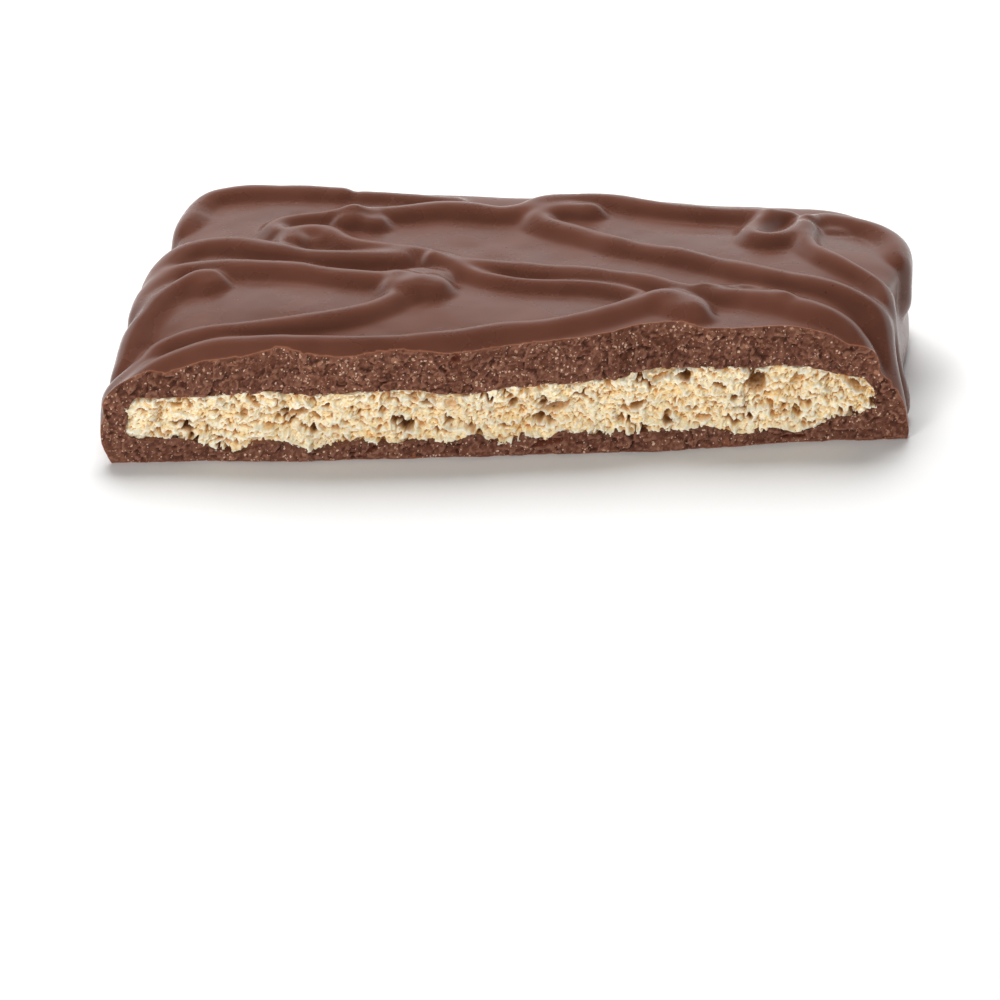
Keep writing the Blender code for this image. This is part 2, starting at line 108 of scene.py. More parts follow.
# Break.
BREAK_MIDDLE, BREAK_SLOPE = -16.0, 0.165
BREAK_LEANS = [  # (x, how far the top of the break leans back there)
    (-33.0, 1.5), (-28.5, 1.4), (-26.0, 1.2), (-24.0, 0.6), (-21.5, 0.3), (-19.5, 0.5), (-17.0, -0.1),
    (-14.0, -0.6), (-11.5, -0.2), (-8.5, -0.2), (-5.0, -0.7), (-0.5, 0.1), (2.0, 0.5), (4.0, 0.3),
    (6.5, 0.5), (8.5, 0.8), (10.0, 1.8), (13.5, 2.1), (16.5, 0.5), (20.5, 1.0), (23.5, 1.0), (26.0, 0.1),
    (28.5, -0.6), (32.0, -0.7),
]
BREAK_WAVES = [(0.25, 5.5, 41), (0.15, 2.1, 42)]  # (height, length, seed)
BREAK_CELL = 0.115
CUT_LEFT, CUT_RIGHT, CUT_FRONT = -37.0, 37.0, -60.0  # of the block that cuts the break, beyond the coat
CUT_BOTTOM, CUT_TOP = -0.6, 13.4

# Crumb: the biscuit's first few millimetres behind the break.
CRUMB_CELL = 0.073  # of the broken face
CRUMB_DEPTH = 2.8
CRUMB_BEFORE = 1.3  # how far in front of the break line it reaches
CRUMB_TOP = 8.0  # above all of it
CRUMB_MARGIN = 0.8  # room left round it
SLAB_OVERLAP = 0.5  # how far the plain slab behind reaches into it
SKIN_CELL = 0.16  # of the skin round it
POCKET_CELL = 0.3
CRUMB_OVERLAP = 0.1  # how far the biscuit reaches into the chocolate, so that no gap shows
SPECK_POINTS = 300  # a loose part with fewer points is a speck

# The largest hollows in the crumb: (x, z, half width, half height, depth, turn).
CRUMB_VOIDS = [
    (-29.4, 5.1, 0.5, 0.25, 0.5, 0.1), (-27.4, 3.2, 1.35, 0.26, 1.1, 0.0), (-22.3, 3.9, 0.4, 0.4, 0.8, 0.6),
    (-20.3, 2.9, 0.5, 0.25, 0.7, 0.0), (-17.8, 3.9, 1.25, 0.4, 1.1, 0.25), (-8.5, 2.4, 0.5, 0.42, 1.4, 0.0),
    (-6.8, 4.9, 0.5, 0.32, 0.8, 0.3), (-5.1, 4.1, 0.7, 0.6, 0.6, 0.0), (-4.7, 5.1, 0.65, 0.3, 0.7, 0.0),
    (0.2, 4.2, 0.55, 0.42, 1.3, 0.7), (2.3, 2.8, 0.5, 0.45, 1.5, -0.6), (3.6, 3.7, 1.2, 0.5, 1.0, 0.1),
    (5.6, 5.7, 0.9, 0.2, 0.6, 0.0), (9.4, 1.4, 0.4, 0.3, 0.7, 0.0), (10.6, 3.7, 1.1, 0.4, 1.1, 0.2),
    (12.4, 5.9, 0.7, 0.2, 0.6, 0.3), (13.2, 2.9, 0.45, 0.38, 1.1, 0.8), (14.7, 6.1, 0.6, 0.32, 0.8, 0.1),
    (16.2, 2.4, 1.0, 0.26, 0.8, 0.0), (18.9, 4.1, 0.34, 0.32, 1.5, 0.0), (20.6, 5.2, 1.1, 0.9, 1.3, 0.0),
    (24.3, 5.6, 0.75, 0.45, 0.9, 0.2), (29.2, 4.7, 0.85, 0.3, 1.0, -0.6),
]
# The smaller ones, by chance: (spacing, share of the places with one, seed).
CRUMB_PITS = [(1.5, 0.2, 45), (0.95, 0.4, 46), (0.55, 0.5, 47), (0.33, 0.5, 48)]
CRUMB_PIT_DEPTH = 2.4  # depth over half width

ROPE_STEP = 0.3
ROPE_FULLNESS, ROPE_FOOT = 2.4, 1.15  # how broad the strings are on top, and how softly they end at the foot
ROPE_CLIMB = 0.55  # how much of what lies below a string lifts it
ROPE_SETTLE = 4  # steps each way over which that lift is evened out
ROPE_SWELL, ROPE_SWELL_LENGTH, ROPE_SEED = 0.13, 4.0, 3  # how the strings swell and thin
ROPE_WIDEST = 1.2  # over the plain half width
BLOB_FULLNESS = 3.6
MELT_ROUNDS = 5

# Strings of chocolate in the order that they fell: (half width, height, route).
ROPES = {
    "back_rim": (1.7, 0.95, [
        (-32.8, 9.0, 1.0), (-33.0, 9.8, 6.0), (-32.8, 12.6, 8.8), (-32.1, 15.8), (-30.6, 17.8),
        (-27.6, 18.5), (-23.0, 18.3), (-18.5, 18.0),
    ]),
    "back_rim_end": (1.4, 0.6, [(-16.5, 18.0), (-14.0, 17.9), (-11.0, 17.6), (-8.0, 17.4)]),
    "left_upper": (1.85, 1.05, [
        (-33.8, -3.5, 0.5), (-33.7, -2.6, 4.0), (-33.4, -0.6, 7.0), (-32.9, 1.5, 8.8), (-31.6, 4.0),
        (-29.6, 5.2), (-26.4, 4.8), (-23.1, 3.2), (-19.8, 1.7), (-16.8, 1.5), (-13.8, 1.8), (-11.5, 1.9),
    ]),
    "left_middle": (1.75, 1.0, [
        (-33.9, -9.5, 0.5), (-33.8, -8.5, 4.0), (-33.6, -6.5, 6.8), (-33.3, -4.1, 8.2), (-32.5, -1.8),
        (-31.0, -0.2), (-27.5, -0.6), (-23.9, -1.1), (-20.5, -1.5), (-17.5, -2.3), (-14.5, -3.0),
        (-11.5, -3.0),
    ]),
    "left_stub": (1.6, 1.15, [
        (-34.0, -17.5, 0.5), (-33.9, -16.0, 4.0), (-33.7, -13.5, 6.5), (-33.3, -10.5, 7.8),
        (-32.7, -8.0), (-31.7, -5.8), (-30.3, -4.1), (-28.8, -3.2), (-27.6, -3.1),
    ]),
    "front_diagonal": (1.7, 1.0, [
        (-33.5, -22.6, 0.0), (-33.7, -21.0, 3.0), (-33.6, -18.9, 6.0), (-32.8, -16.6), (-31.5, -15.2),
        (-29.4, -14.6), (-26.6, -14.4), (-23.7, -14.3), (-19.8, -13.6), (-16.1, -12.3), (-13.4, -10.5),
        (-11.6, -8.6), (-10.2, -6.6), (-9.0, -4.8),
    ]),
    "front_edge": (1.8, 1.05, [
        (-33.9, -26.0, 5.0), (-33.6, -22.6, 6.4), (-32.8, -19.9), (-31.0, -18.4), (-28.0, -17.6),
        (-24.5, -17.3), (-20.0, -17.4), (-15.0, -17.1), (-10.0, -16.5), (-5.3, -15.4), (-1.1, -14.0),
        (3.6, -12.8), (7.0, -11.3), (9.4, -9.5), (11.6, -7.7), (13.4, -7.5), (14.8, -8.8), (15.3, -10.2),
    ]),
    "back_edge": (1.85, 1.1, [
        (-17.0, 10.8), (-16.4, 12.4), (-14.0, 13.0), (-11.4, 13.8), (-8.6, 14.7), (-6.0, 14.6),
        (-3.6, 14.2), (-1.5, 15.0), (0.3, 16.8), (3.4, 17.8), (6.4, 17.9), (9.1, 16.9), (12.0, 16.3),
        (16.9, 15.9), (20.2, 15.2),
    ]),
    "long_diagonal": (1.8, 1.05, [
        (4.4, 15.2), (2.4, 15.4), (0.6, 14.6), (0.0, 13.0), (0.9, 11.6), (2.8, 10.2), (5.4, 8.2),
        (9.3, 5.4), (13.5, 3.5), (17.5, 1.2), (21.6, -1.0), (25.6, -2.7), (29.6, -4.4), (31.8, -5.9),
        (33.0, -7.4, 8.0), (33.6, -9.4, 4.8), (33.9, -10.4, 0.5),
    ]),
    "right_corner": (2.0, 1.05, [
        (33.9, 6.4, 6.2), (34.0, 8.4, 8.4), (32.8, 11.6), (30.8, 13.9), (28.4, 14.9),
        (26.2, 15.1), (24.8, 14.4),
    ]),
    "right_ring": (1.5, 1.05, [
        (22.6, 15.2), (21.2, 14.4), (20.0, 12.6), (19.3, 10.4), (19.8, 8.6), (21.2, 8.0), (22.5, 9.2),
        (23.4, 11.4), (24.1, 13.4),
    ]),
    "right_loop": (1.4, 1.0, [
        (24.3, 11.4), (24.1, 8.6), (24.7, 6.4), (26.0, 4.4), (27.5, 2.8), (29.6, 1.1), (31.4, -0.7),
        (32.7, -3.0, 8.8), (33.6, -5.2, 5.2), (34.0, -6.2, 0.5),
    ]),
    "left_hook": (1.35, 0.8, [
        (-16.6, 12.3), (-18.5, 11.9), (-21.1, 11.7), (-22.9, 10.5), (-23.5, 8.8), (-22.9, 7.4),
    ]),
    "centre_diagonal": (1.8, 1.05, [
        (-21.4, 5.2), (-21.4, 6.6), (-20.3, 7.7), (-18.7, 7.6), (-17.3, 6.0), (-16.0, 4.9), (-14.0, 4.3),
        (-12.0, 3.8), (-8.9, 3.0), (-5.6, 1.2), (-3.6, 0.8), (-0.6, 0.5), (1.6, 0.0), (5.7, -1.0),
        (9.8, -2.6), (11.8, -3.4), (13.9, -4.6), (15.9, -5.5), (18.8, -5.7), (21.8, -6.7), (25.7, -8.6),
        (28.6, -9.5), (31.2, -10.8), (32.7, -12.4), (33.5, -15.0, 6.0), (33.9, -16.6, 1.0),
    ]),
    "centre_strand": (1.35, 0.9, [
        (-8.4, 1.6), (-6.6, 0.2), (-4.4, -1.3), (-2.1, -2.6), (0.5, -3.2), (2.9, -3.4), (5.0, -3.7),
        (6.9, -4.3), (8.6, -5.1), (10.2, -6.2),
    ]),
    "right_strand": (1.1, 0.6, [(15.8, -4.8), (17.6, -4.0), (19.4, -3.4), (21.2, -4.4), (23.0, -6.8)]),
}

# Thick ends where a string turned back on itself: (half width, height, route).
BLOBS = {
    "back_left": (2.0, 0.95, [(-15.9, 11.4), (-14.9, 10.9)]),
    "hook_end": (1.6, 0.6, [(-22.6, 7.6), (-22.0, 6.8)]),
    "diagonal_end": (1.6, 0.5, [(-20.4, 6.4), (-19.2, 6.2)]),
    "middle_back": (1.7, 0.8, [(-10.6, -2.4), (-9.2, -1.6), (-7.6, -2.0)]),
    "middle_front": (2.7, 1.3, [(-10.2, -4.6), (-8.2, -4.7)]),
    "right": (2.4, 1.05, [(12.9, -7.5), (14.6, -8.9)]),
    "corner_end": (2.4, 0.45, [(25.8, 13.9), (27.0, 14.2)]),
    "stub_end": (2.1, 1.1, [(-28.4, -3.5), (-27.6, -3.8)]),
}

# Hollows in the snapped chocolate, and a drop on it: (x, z, half width, half height, depth, turn).
CHOCOLATE_HOLLOWS = [
    (-4.6, 8.6, 0.5, 0.4, 0.5, 0.0), (3.2, 0.95, 1.4, 0.28, 0.9, 0.2), (-11.6, 0.8, 0.5, 0.2, 0.6, 0.3),
    (5.4, 5.6, 0.25, 0.2, 0.4, 0.0), (24.0, 0.5, 1.2, 0.2, 0.4, 0.0), (-12.7, 0.35, 0.4, 0.35, -0.4, 0.0),
]

GLOW_DEPTH = 0.4  # of a hollow that glows fully
# The rim is a painted highlight along the break's edge, on the break and on the coat's skin.
RIM_HIGHLIGHT_ON_BREAK, RIM_HIGHLIGHT_ON_SKIN = 0.16, 0.12  # how fast the pale rim of the break fades to both sides
RIM_HIGHLIGHT_REACH = 2.5
# The dents get painted shade and the ridges a painted highlight.
COAT_DENT_ROUNDS, CRUMB_DENT_ROUNDS = 7, 30  # of smoothing, to find dents and ridges

# Colours as they look on screen, 0 to 255.
# The rim colours are a painted highlight along the break's edge.
COAT_DARK, COAT_PALE, COAT_RIM_HIGHLIGHT = (97, 57, 43), (107, 65, 50), (172, 116, 88)
SNAP_DARK, SNAP_PALE = (92, 50, 35), (126, 82, 64)
SNAP_GRAIN_DARK, SNAP_GRAIN_PALE = (66, 35, 25), (158, 110, 88)
# The dent colours are painted shade and the ridge colours a painted highlight.
SNAP_DENT_SHADE, SNAP_RIDGE_HIGHLIGHT = (56, 31, 23), (152, 108, 88)
SNAP_RIM_HIGHLIGHT, SNAP_GLOW = (140, 88, 64), (112, 56, 38)
SNAP_SPECKS = [  # (size, widest, share of the cells without one, colour)
    (1.2, 0.4, 0.68, (140, 86, 60)), (0.75, 0.44, 0.5, (166, 118, 92)),
    (0.45, 0.45, 0.32, (190, 148, 124)), (0.28, 0.5, 0.36, (220, 186, 162)),
]
CRUMB_TAN, CRUMB_CREAM = (253, 221, 160), (255, 243, 210)
CRUMB_FLECK, CRUMB_GRAIN = (236, 172, 108), (255, 250, 236)
# The dent colours are painted shade and the ridge colours a painted highlight.
CRUMB_DENT_SHADE, CRUMB_RIDGE_HIGHLIGHT = (190, 120, 48), (255, 250, 234)
# The pore colours are partly the crumb's toasted colour and partly painted shade, darker deeper in a pore.
PORE_SHALLOW_TOAST_AND_SHADE, PORE_DEEP_TOAST_AND_SHADE = (208, 142, 64), (104, 56, 18)
FLOOR_WHITE = (246, 246, 245)

# Camera: a long lens from the front, 24 degrees up and 5 degrees to the right.
CAMERA_PLACE = (29.78, -367.17, 152.12)
CAMERA_TARGET = (0.0, -26.8, 0.0)
CAMERA_LENS, CAMERA_SENSOR = 161.6, 36.0
CAMERA_NEAR, CAMERA_FAR = 10.0, 20000.0

# Lamps: (place, target, width and height, power, whether the coat mirrors it).
LAMPS = {
    "above": ((-80, 380, 420), (0, 0, 5), (380, 380), 4.6, False),
    "front": ((-60, -560, 50), (0, -10, 5), (560, 90), 1.15, True),
    "key": ((-200, -330, 320), (0, -15, 5), (110, 110), 0.6, True),
}
WALLS_BY_HEIGHT, WALLS_BY_DEPTH = (0.66, 0.42), (-0.3, 0.3)  # where the walls turn from dark to pale
WALLS_IN_FRONT = 0.4  # as a share of those behind
WALLS_DARKEST, WALLS_PALEST = 0.08, 0.9
FLOOR_SIZE = 6000.0

# Noise.
RIPPLE_SHIFT = (17.3, 9.1, 5.7)  # from one seed to the next
LATTICE = (256, 16, 64)  # points along x, y and z before the grit repeats
CELLS = 256  # each way before the cells repeat
FAR = 9.0  # beyond the middle of any cell near a point


# Noise and small maths


def ramp(value, start, end):
    """Smooth step from 0 at start to 1 at end, which may lie below start."""
    share = np.clip((np.asarray(value, float) - start) / (end - start), 0.0, 1.0)
    return share * share * (3.0 - 2.0 * share)


def ripple(points, scale, seed):
    """The solids' own noise, about -1 to 1, at each point."""
    shift = Vector([seed * step for step in RIPPLE_SHIFT])
    return np.array([noise.noise(Vector(p) / scale + shift) for p in points])


def waves(points, *rows):
    """The sum of ripples: (height, length, seed)."""
    return sum(height * ripple(points, length, seed) for height, length, seed in rows)


def grit(x, y, z, scale, seed):
    """Quick noise, -1 to 1, for many points: a random lattice, read smoothly."""
    lattice = np.random.default_rng(seed).uniform(-1.0, 1.0, LATTICE)
    scales = np.broadcast_to(scale, 3)
    found = [np.asarray(v, float) / s for v, s in zip((x, y, z), scales)]
    base = [np.floor(v).astype(int) for v in found]
    share = [ramp(v - b, 0.0, 1.0) for v, b in zip(found, base)]
    total = 0.0
    for corner in itertools.product((0, 1), repeat=3):
        place = tuple((b + c) % size for b, c, size in zip(base, corner, LATTICE))
        weights = [s if c else 1.0 - s for s, c in zip(share, corner)]
        total = total + lattice[place] * weights[0] * weights[1] * weights[2]
    return total


def grain(x, z, scale, seed):
    """The quick noise on a broken face."""
    return grit(x, 0.0, z, scale, seed)


def cells_near(x, z, scale, seed):
    """For each of the nine cells round a point: the way to its middle, and the cell's three chances."""
    chance = np.random.default_rng(seed)
    middles = chance.uniform(0.1, 0.9, (CELLS, CELLS, 2))
    chances = chance.uniform(0.0, 1.0, (CELLS, CELLS, 3))
    u, v = x / scale, z / scale
    for across, up in itertools.product((-1, 0, 1), repeat=2):
        column, row = np.floor(u).astype(int) + across, np.floor(v).astype(int) + up
        middle = middles[column % CELLS, row % CELLS]
        yield u - column - middle[..., 0], v - row - middle[..., 1], chances[column % CELLS, row % CELLS]


def lumps(x, z, scale, seed):
    """Rounded lumps with creases between them: 0 in the creases, about 1 on a lump."""
    nearest, second = np.full(x.shape, FAR), np.full(x.shape, FAR)
    for du, dv, _ in cells_near(x, z, scale, seed):
        distance = np.hypot(du, dv)
        second = np.minimum(second, np.maximum(nearest, distance))
        nearest = np.minimum(nearest, distance)
    return np.sqrt(np.clip(second - nearest, 0.0, 1.0))


def cracks(x, z, scale, seed):
    """Thin cracks between wide lumps: 1 in a crack, falling quickly to 0."""
    return (1.0 - lumps(x, z, scale, seed)) ** 3


def chips(x, z, scale, seed):
    """Broken chips side by side: each is a small plane with its own height and tilt, about -1 to 1."""
    nearest, height = np.full(x.shape, FAR), np.zeros(x.shape)
    for du, dv, chance in cells_near(x, z, scale, seed):
        distance = np.hypot(du, dv)
        level, tilt, slant = np.moveaxis(chance - 0.5, -1, 0)
        tilted = level + 1.2 * du * tilt + 1.2 * dv * slant
        height = np.where(distance < nearest, tilted, height)
        nearest = np.minimum(nearest, distance)
    return height


def pits(x, z, scale, share, seed):
    """Pits, wider than tall and deepest under their upper edge, in this share of the cells."""
    deepest = np.zeros(x.shape)
    for du, dv, chance in cells_near(x, z, scale, seed):
        wide, flat = 0.2 + 0.34 * chance[..., 0], 0.35 + 0.5 * chance[..., 1]
        slant = 1.2 * (chance[..., 0] + chance[..., 1] - 1.0)
        away = ((du + slant * dv) / wide) ** 2 + (dv / (wide * flat)) ** 2
        depth = wide * np.clip(1.0 - away, 0.0, None) ** 0.4 * (0.65 + 0.45 * dv / (wide * flat))
        deepest = np.maximum(deepest, np.where(chance[..., 2] < share, depth, 0.0))
    return deepest * scale


# Layers of relief: (kind, height, share of x, warp along x, warp along z, and the numbers of the kind).
SNAP_LAYERS = [
    (lumps, -0.18, 1.0, 1.0, -1.0, 1.5, 22),
    (chips, 0.32, 1.0, 0.5, 0.0, 1.05, 23),
    (chips, 0.18, 1.0, 0.0, 0.5, 0.5, 24),
    (pits, -0.8, 1.0, 0.0, 0.0, 0.8, 0.22, 29),
    (pits, 0.7, 1.0, 0.0, 0.0, 0.7, 0.15, 28),
    (grain, 0.05, 1.0, 0.0, 0.0, 0.3, 25),
]
SNAP_WARP = [(grain, 0.35, 1.0, 0.0, 0.0, 0.9, 21)]
CRUMB_LAYERS = [
    (grain, 0.3, 1.0, 0.0, 0.0, (2.6, 1.0, 1.5), 33),
    (grain, 0.2, 1.0, 0.0, 0.0, (1.2, 1.0, 0.65), 34),
    (chips, 0.7, 0.45, 1.0, 0.4, 0.75, 40),
    (chips, 0.3, 0.6, -1.0, 0.0, 0.4, 41),
    (chips, 0.12, 0.7, 0.3, 0.0, 0.22, 44),
    (grain, 0.08, 1.0, 0.0, 0.0, 0.19, 35),
]
CRUMB_CRACKS = [(cracks, 0.7, 0.5, 1.0, -0.6, 0.65, 49)]
CRUMB_CRACKED = (1.3, 50)  # where the cracks are: (size, seed)
CRUMB_WARP = [(grain, 0.5, 1.0, 0.0, 0.0, 1.2, 39), (grain, 0.15, 1.0, 0.0, 0.0, 0.4, 51)]


def layered(x, z, warp, layers):
    """The sum of the layers, each read at places that the warp moves."""
    total = 0.0
    for kind, height, along, warp_x, warp_z, *numbers in layers:
        total = total + height * kind(along * x + warp_x * warp, z + warp_z * warp, *numbers)
    return total


# Meshes


def rows_of(items, key, width, kind=float):
    """One row of numbers for each of a mesh's items."""
    found = np.empty(len(items) * width, kind)
    items.foreach_get(key, found)
    return found.reshape(-1, width)


def mesh_points(mesh):
    """The mesh's points, in millimetres."""
    return rows_of(mesh.vertices, "co", 3) / MM


def set_mesh_points(mesh, points):
    mesh.vertices.foreach_set("co", (points * MM).ravel())
    mesh.update()


def mesh_normals(mesh):
    return rows_of(mesh.vertex_normals, "vector", 3)


def mesh_edges(mesh):
    return rows_of(mesh.edges, "vertices", 2, int)


@contextmanager
def edited(mesh):
    """The mesh as one whose faces can be edited, which is written back at the end."""
    work = bmesh.new()
    work.from_mesh(mesh)
    yield work
    work.to_mesh(mesh)
    work.free()


def neighbour_mean(edges, values):
    """The mean of each point's neighbours along the edges."""
    total = np.bincount(edges[:, 0], values[edges[:, 1]], len(values))
    total += np.bincount(edges[:, 1], values[edges[:, 0]], len(values))
    return total / np.maximum(np.bincount(edges.ravel(), minlength=len(values)), 1)


def hollowness(mesh, rounds):
    """How far each point lies under the smoothed surface: above 0 in dents, below 0 on ridges."""
    points, edges = mesh_points(mesh), mesh_edges(mesh)
    soft = points.copy()
    for _ in range(rounds):
        for axis in range(3):
            soft[:, axis] = 0.5 * soft[:, axis] + 0.5 * neighbour_mean(edges, soft[:, axis])
    return ((soft - points) * mesh_normals(mesh)).sum(axis=1)


def add_object(name, data):
    thing = bpy.data.objects.new(name, data)
    bpy.context.scene.collection.objects.link(thing)
    return thing


def mesh_object(name, points, faces):
    mesh = bpy.data.meshes.new(name)
    mesh.from_pydata((points * MM).tolist(), [], faces)
    mesh.update()
    return add_object(name, mesh)


def apply_modifiers(thing):
    """Turns what the modifiers make into the object's own mesh."""
    seen = thing.evaluated_get(bpy.context.evaluated_depsgraph_get())
    made = bpy.data.meshes.new_from_object(seen)
    old = thing.data
    thing.modifiers.clear()
    thing.data = made
    bpy.data.meshes.remove(old)


def smooth(thing, levels):
    subdivide = thing.modifiers.new("smooth", "SUBSURF")
    subdivide.levels = subdivide.render_levels = levels
    apply_modifiers(thing)


def cut(thing, cutter):
    """Takes cutter out of thing. The cutter's faces keep their material slot."""
    boolean = thing.modifiers.new("cut", "BOOLEAN")
    boolean.operation = "DIFFERENCE"
    boolean.object = cutter
    boolean.solver = "MANIFOLD"
    apply_modifiers(thing)
    bpy.data.objects.remove(cutter)


def drop_specks(thing):
    """Deletes the specks that the cuts leave in the air."""
    with edited(thing.data) as work:
        unseen = set(work.verts)
        while unseen:
            part = [unseen.pop()]
            for vert in part:
                linked = {edge.other_vert(vert) for edge in vert.link_edges} & unseen
                unseen -= linked
                part += linked
            if len(part) < SPECK_POINTS:
                bmesh.ops.delete(work, geom=part, context="VERTS")


def set_slot_of_faces(thing, index):
    """Gives the object three material slots, and all its faces the slot with this index."""
    thing.data.materials.clear()
    for _ in range(3):
        thing.data.materials.append(None)
    thing.data.polygons.foreach_set("material_index", [index] * len(thing.data.polygons))


def add_shares(mesh, name, values):
    """Stores one number for each point, for the material to read."""
    attribute = mesh.attributes.new(name, "FLOAT", "POINT")
    attribute.data.foreach_set("value", values.astype(np.float32))


def surface_nets(field, low, cell):
    """Points and four-sided faces where the field crosses zero. It is negative inside the solid."""
    inside = field < 0.0
    corners = list(itertools.product((0, 1), repeat=3))
    shape = [n - 1 for n in field.shape]
    views = [tuple(slice(c, c + n) for c, n in zip(corner, shape)) for corner in corners]
    count = sum(inside[view].astype(np.int8) for view in views)
    cells = np.argwhere((count > 0) & (count < 8))
    values = np.stack([field[tuple((cells + corner).T)] for corner in corners], axis=1)
    total = np.zeros((len(cells), 3))
    crossings = np.zeros(len(cells))
    for first, second in itertools.combinations(range(8), 2):
        a, b = np.array(corners[first]), np.array(corners[second])
        if np.abs(a - b).sum() != 1:
            continue
        crossed = (values[:, first] < 0) != (values[:, second] < 0)
        gap = np.where(crossed, values[:, first] - values[:, second], 1.0)
        share = values[:, first] / gap
        total += np.where(crossed[:, None], a + share[:, None] * (b - a), 0.0)
        crossings += crossed
    points = (cells + total / crossings[:, None]) * cell + np.array(low)
    number = np.full(shape, -1)
    number[tuple(cells.T)] = np.arange(len(cells))
    faces = []
    for axis in range(3):
        u, v = [other for other in range(3) if other != axis]
        lower = [slice(1, -1)] * 3
        lower[axis] = slice(0, -1)
        upper = list(lower)
        upper[axis] = slice(1, None)
        changed = np.argwhere(inside[tuple(lower)] != inside[tuple(upper)])
        offset = np.array([1, 1, 1])
        offset[axis] = 0
        changed = changed + offset
        quad = []
        for du, dv in ((1, 1), (0, 1), (0, 0), (1, 0)):
            step = np.zeros(3, int)
            step[u], step[v] = du, dv
            quad.append(number[tuple((changed - step).T)])
        quad = np.stack(quad, axis=1)
        outward = inside[tuple(changed.T)] == (axis != 1)
        quad[~outward] = quad[~outward][:, ::-1]
        faces.append(quad)
    return points, np.concatenate(faces)


# The coat, as in the solids but finer


def stations(start, end, margin, cell):
    count = max(1, round((end - margin - start - margin) / cell))
    return np.concatenate([[start], np.linspace(start + margin, end - margin, count + 1), [end]])


def cage(name, xs, ys, zs, open_below=False):
    """A box cut into cells at the stations xs, ys and zs."""
    thing = add_object(name, bpy.data.meshes.new(name))
    low, high = np.array([(places[0], places[-1]) for places in (xs, ys, zs)]).T
    with edited(thing.data) as work:
        bmesh.ops.create_cube(work, size=1.0)
        for vert in work.verts:
            vert.co = Vector(np.array(vert.co) * (high - low) + (high + low) / 2) * MM
        for axis, places in enumerate((xs, ys, zs)):
            normal = Vector(np.eye(3)[axis])
            for place in places[1:-1]:
                everything = work.verts[:] + work.edges[:] + work.faces[:]
                bmesh.ops.bisect_plane(work, geom=everything, plane_co=normal * place * MM, plane_no=normal)
        if open_below:
            floor = [face for face in work.faces if face.normal.z < -0.5]
            bmesh.ops.delete(work, geom=floor, context="FACES")
    return thing


def round_back(points, left, right, back):
    """Bends both square back corners of each ring of the cage, seen from above, to arcs."""
    for corner, radius in (((left, back), BACK_LEFT_RADIUS), ((right, back), BACK_RIGHT_RADIUS)):
        inward = -np.sign(corner)
        centre = corner + inward * radius
        away = (points[:, :2] - centre) * -inward
        inside = (away > 0).all(axis=1)
        reach = away[inside].max(axis=1)
        length = np.linalg.norm(away[inside], axis=1)
        turned = away[inside] * (reach / length)[:, None]
        points[inside, :2] = centre - inward * turned


def coat_sag(x, y):
    """How far the top sags: towards the sides, most at the break, and a little at the front and back."""
    left = SAG_LEFT * (np.clip(-19.0 - x, 0.0, None) / 14.0) ** 2 * (0.35 + 0.65 * ramp(y, 12.0, -16.0))
    left += SAG_LEFT_CORNER * np.clip((-27.0 - x) / 6.0, 0.0, 1.0) * ramp(y, -8.0, -17.0)
    right = SAG_RIGHT * (np.clip(x - 24.5, 0.0, None) / 8.0) ** 2 * (0.27 + 0.73 * ramp(y, -2.0, -11.0))
    right += SAG_RIGHT_EDGE * ramp(x, 30.5, 32.9) * ramp(y, -4.0, -11.0)
    back = SAG_BACK * ramp(x, 2.0, 16.0) * ramp(y, 6.0, 19.0)
    front = SAG_FRONT * ramp(y, -8.0, -17.0) * ramp(x, 10.0, -4.0)
    return left + right + back + front


def coat_blank():
    """The coat before it broke and before the drizzle: a soft slab with round shoulders and a wide foot."""
    xs = stations(COAT_LEFT, COAT_RIGHT, SHOULDER, CELL)
    ys = stations(COAT_FRONT, COAT_BACK, SHOULDER, CELL)
    blank = cage("coat", xs, ys, np.array(COAT_LAYERS), open_below=True)
    points = mesh_points(blank.data)
    round_back(points, COAT_LEFT, COAT_RIGHT, COAT_BACK)
    x, y, z = points.T
    high = z / COAT_HEIGHT
    rise = COAT_RISE * ramp(x, 0.0, 13.0)
    lifted = z + high * (rise - coat_sag(x, y) + waves(points, COAT_UNEVEN))
    # The left side bulges and slants, the right side leans in over a foot, and the back has a foot.
    left, right = ramp(x, -26.0, -33.0), ramp(x, 24.0, 32.5)
    wobble = waves(points, COAT_WOBBLE)
    lean = 1.5 * high**2 * (0.4 + 0.6 * ramp(y, 8.0, -10.0)) + 0.4 * ramp(abs(y + 2.0), 9.0, 3.0)
    spread = (0.8 - 0.7 * ramp(y, -4.0, -11.0)) * ramp(z, 0.0, 1.2) * ramp(z, 6.0, 1.0)
    slant = 0.045 * np.maximum(y, -7.0) + 0.5 * ramp(y, 3.0, 9.0)
    x = x + left * (0.9 * ramp(z, 3.5, 0.0) + slant - wobble)
    x = x + right * (spread - lean + 0.03 * np.maximum(y, 0.0) + wobble)
    y = y + ramp(y, 14.0, 20.0) * (0.45 * ramp(z, 3.5, 0.0) + wobble)
    set_mesh_points(blank.data, np.column_stack([x, y, lifted]))
    smooth(blank, COAT_LEVELS)
    return blank


def close_below(thing):
    """Fills the open foot with one flat face."""
    with edited(thing.data) as work:
        rim = [edge for edge in work.edges if edge.is_boundary]
        for vert in {vert for edge in rim for vert in edge.verts}:
            vert.co.z = 0.0
        bmesh.ops.holes_fill(work, edges=rim)


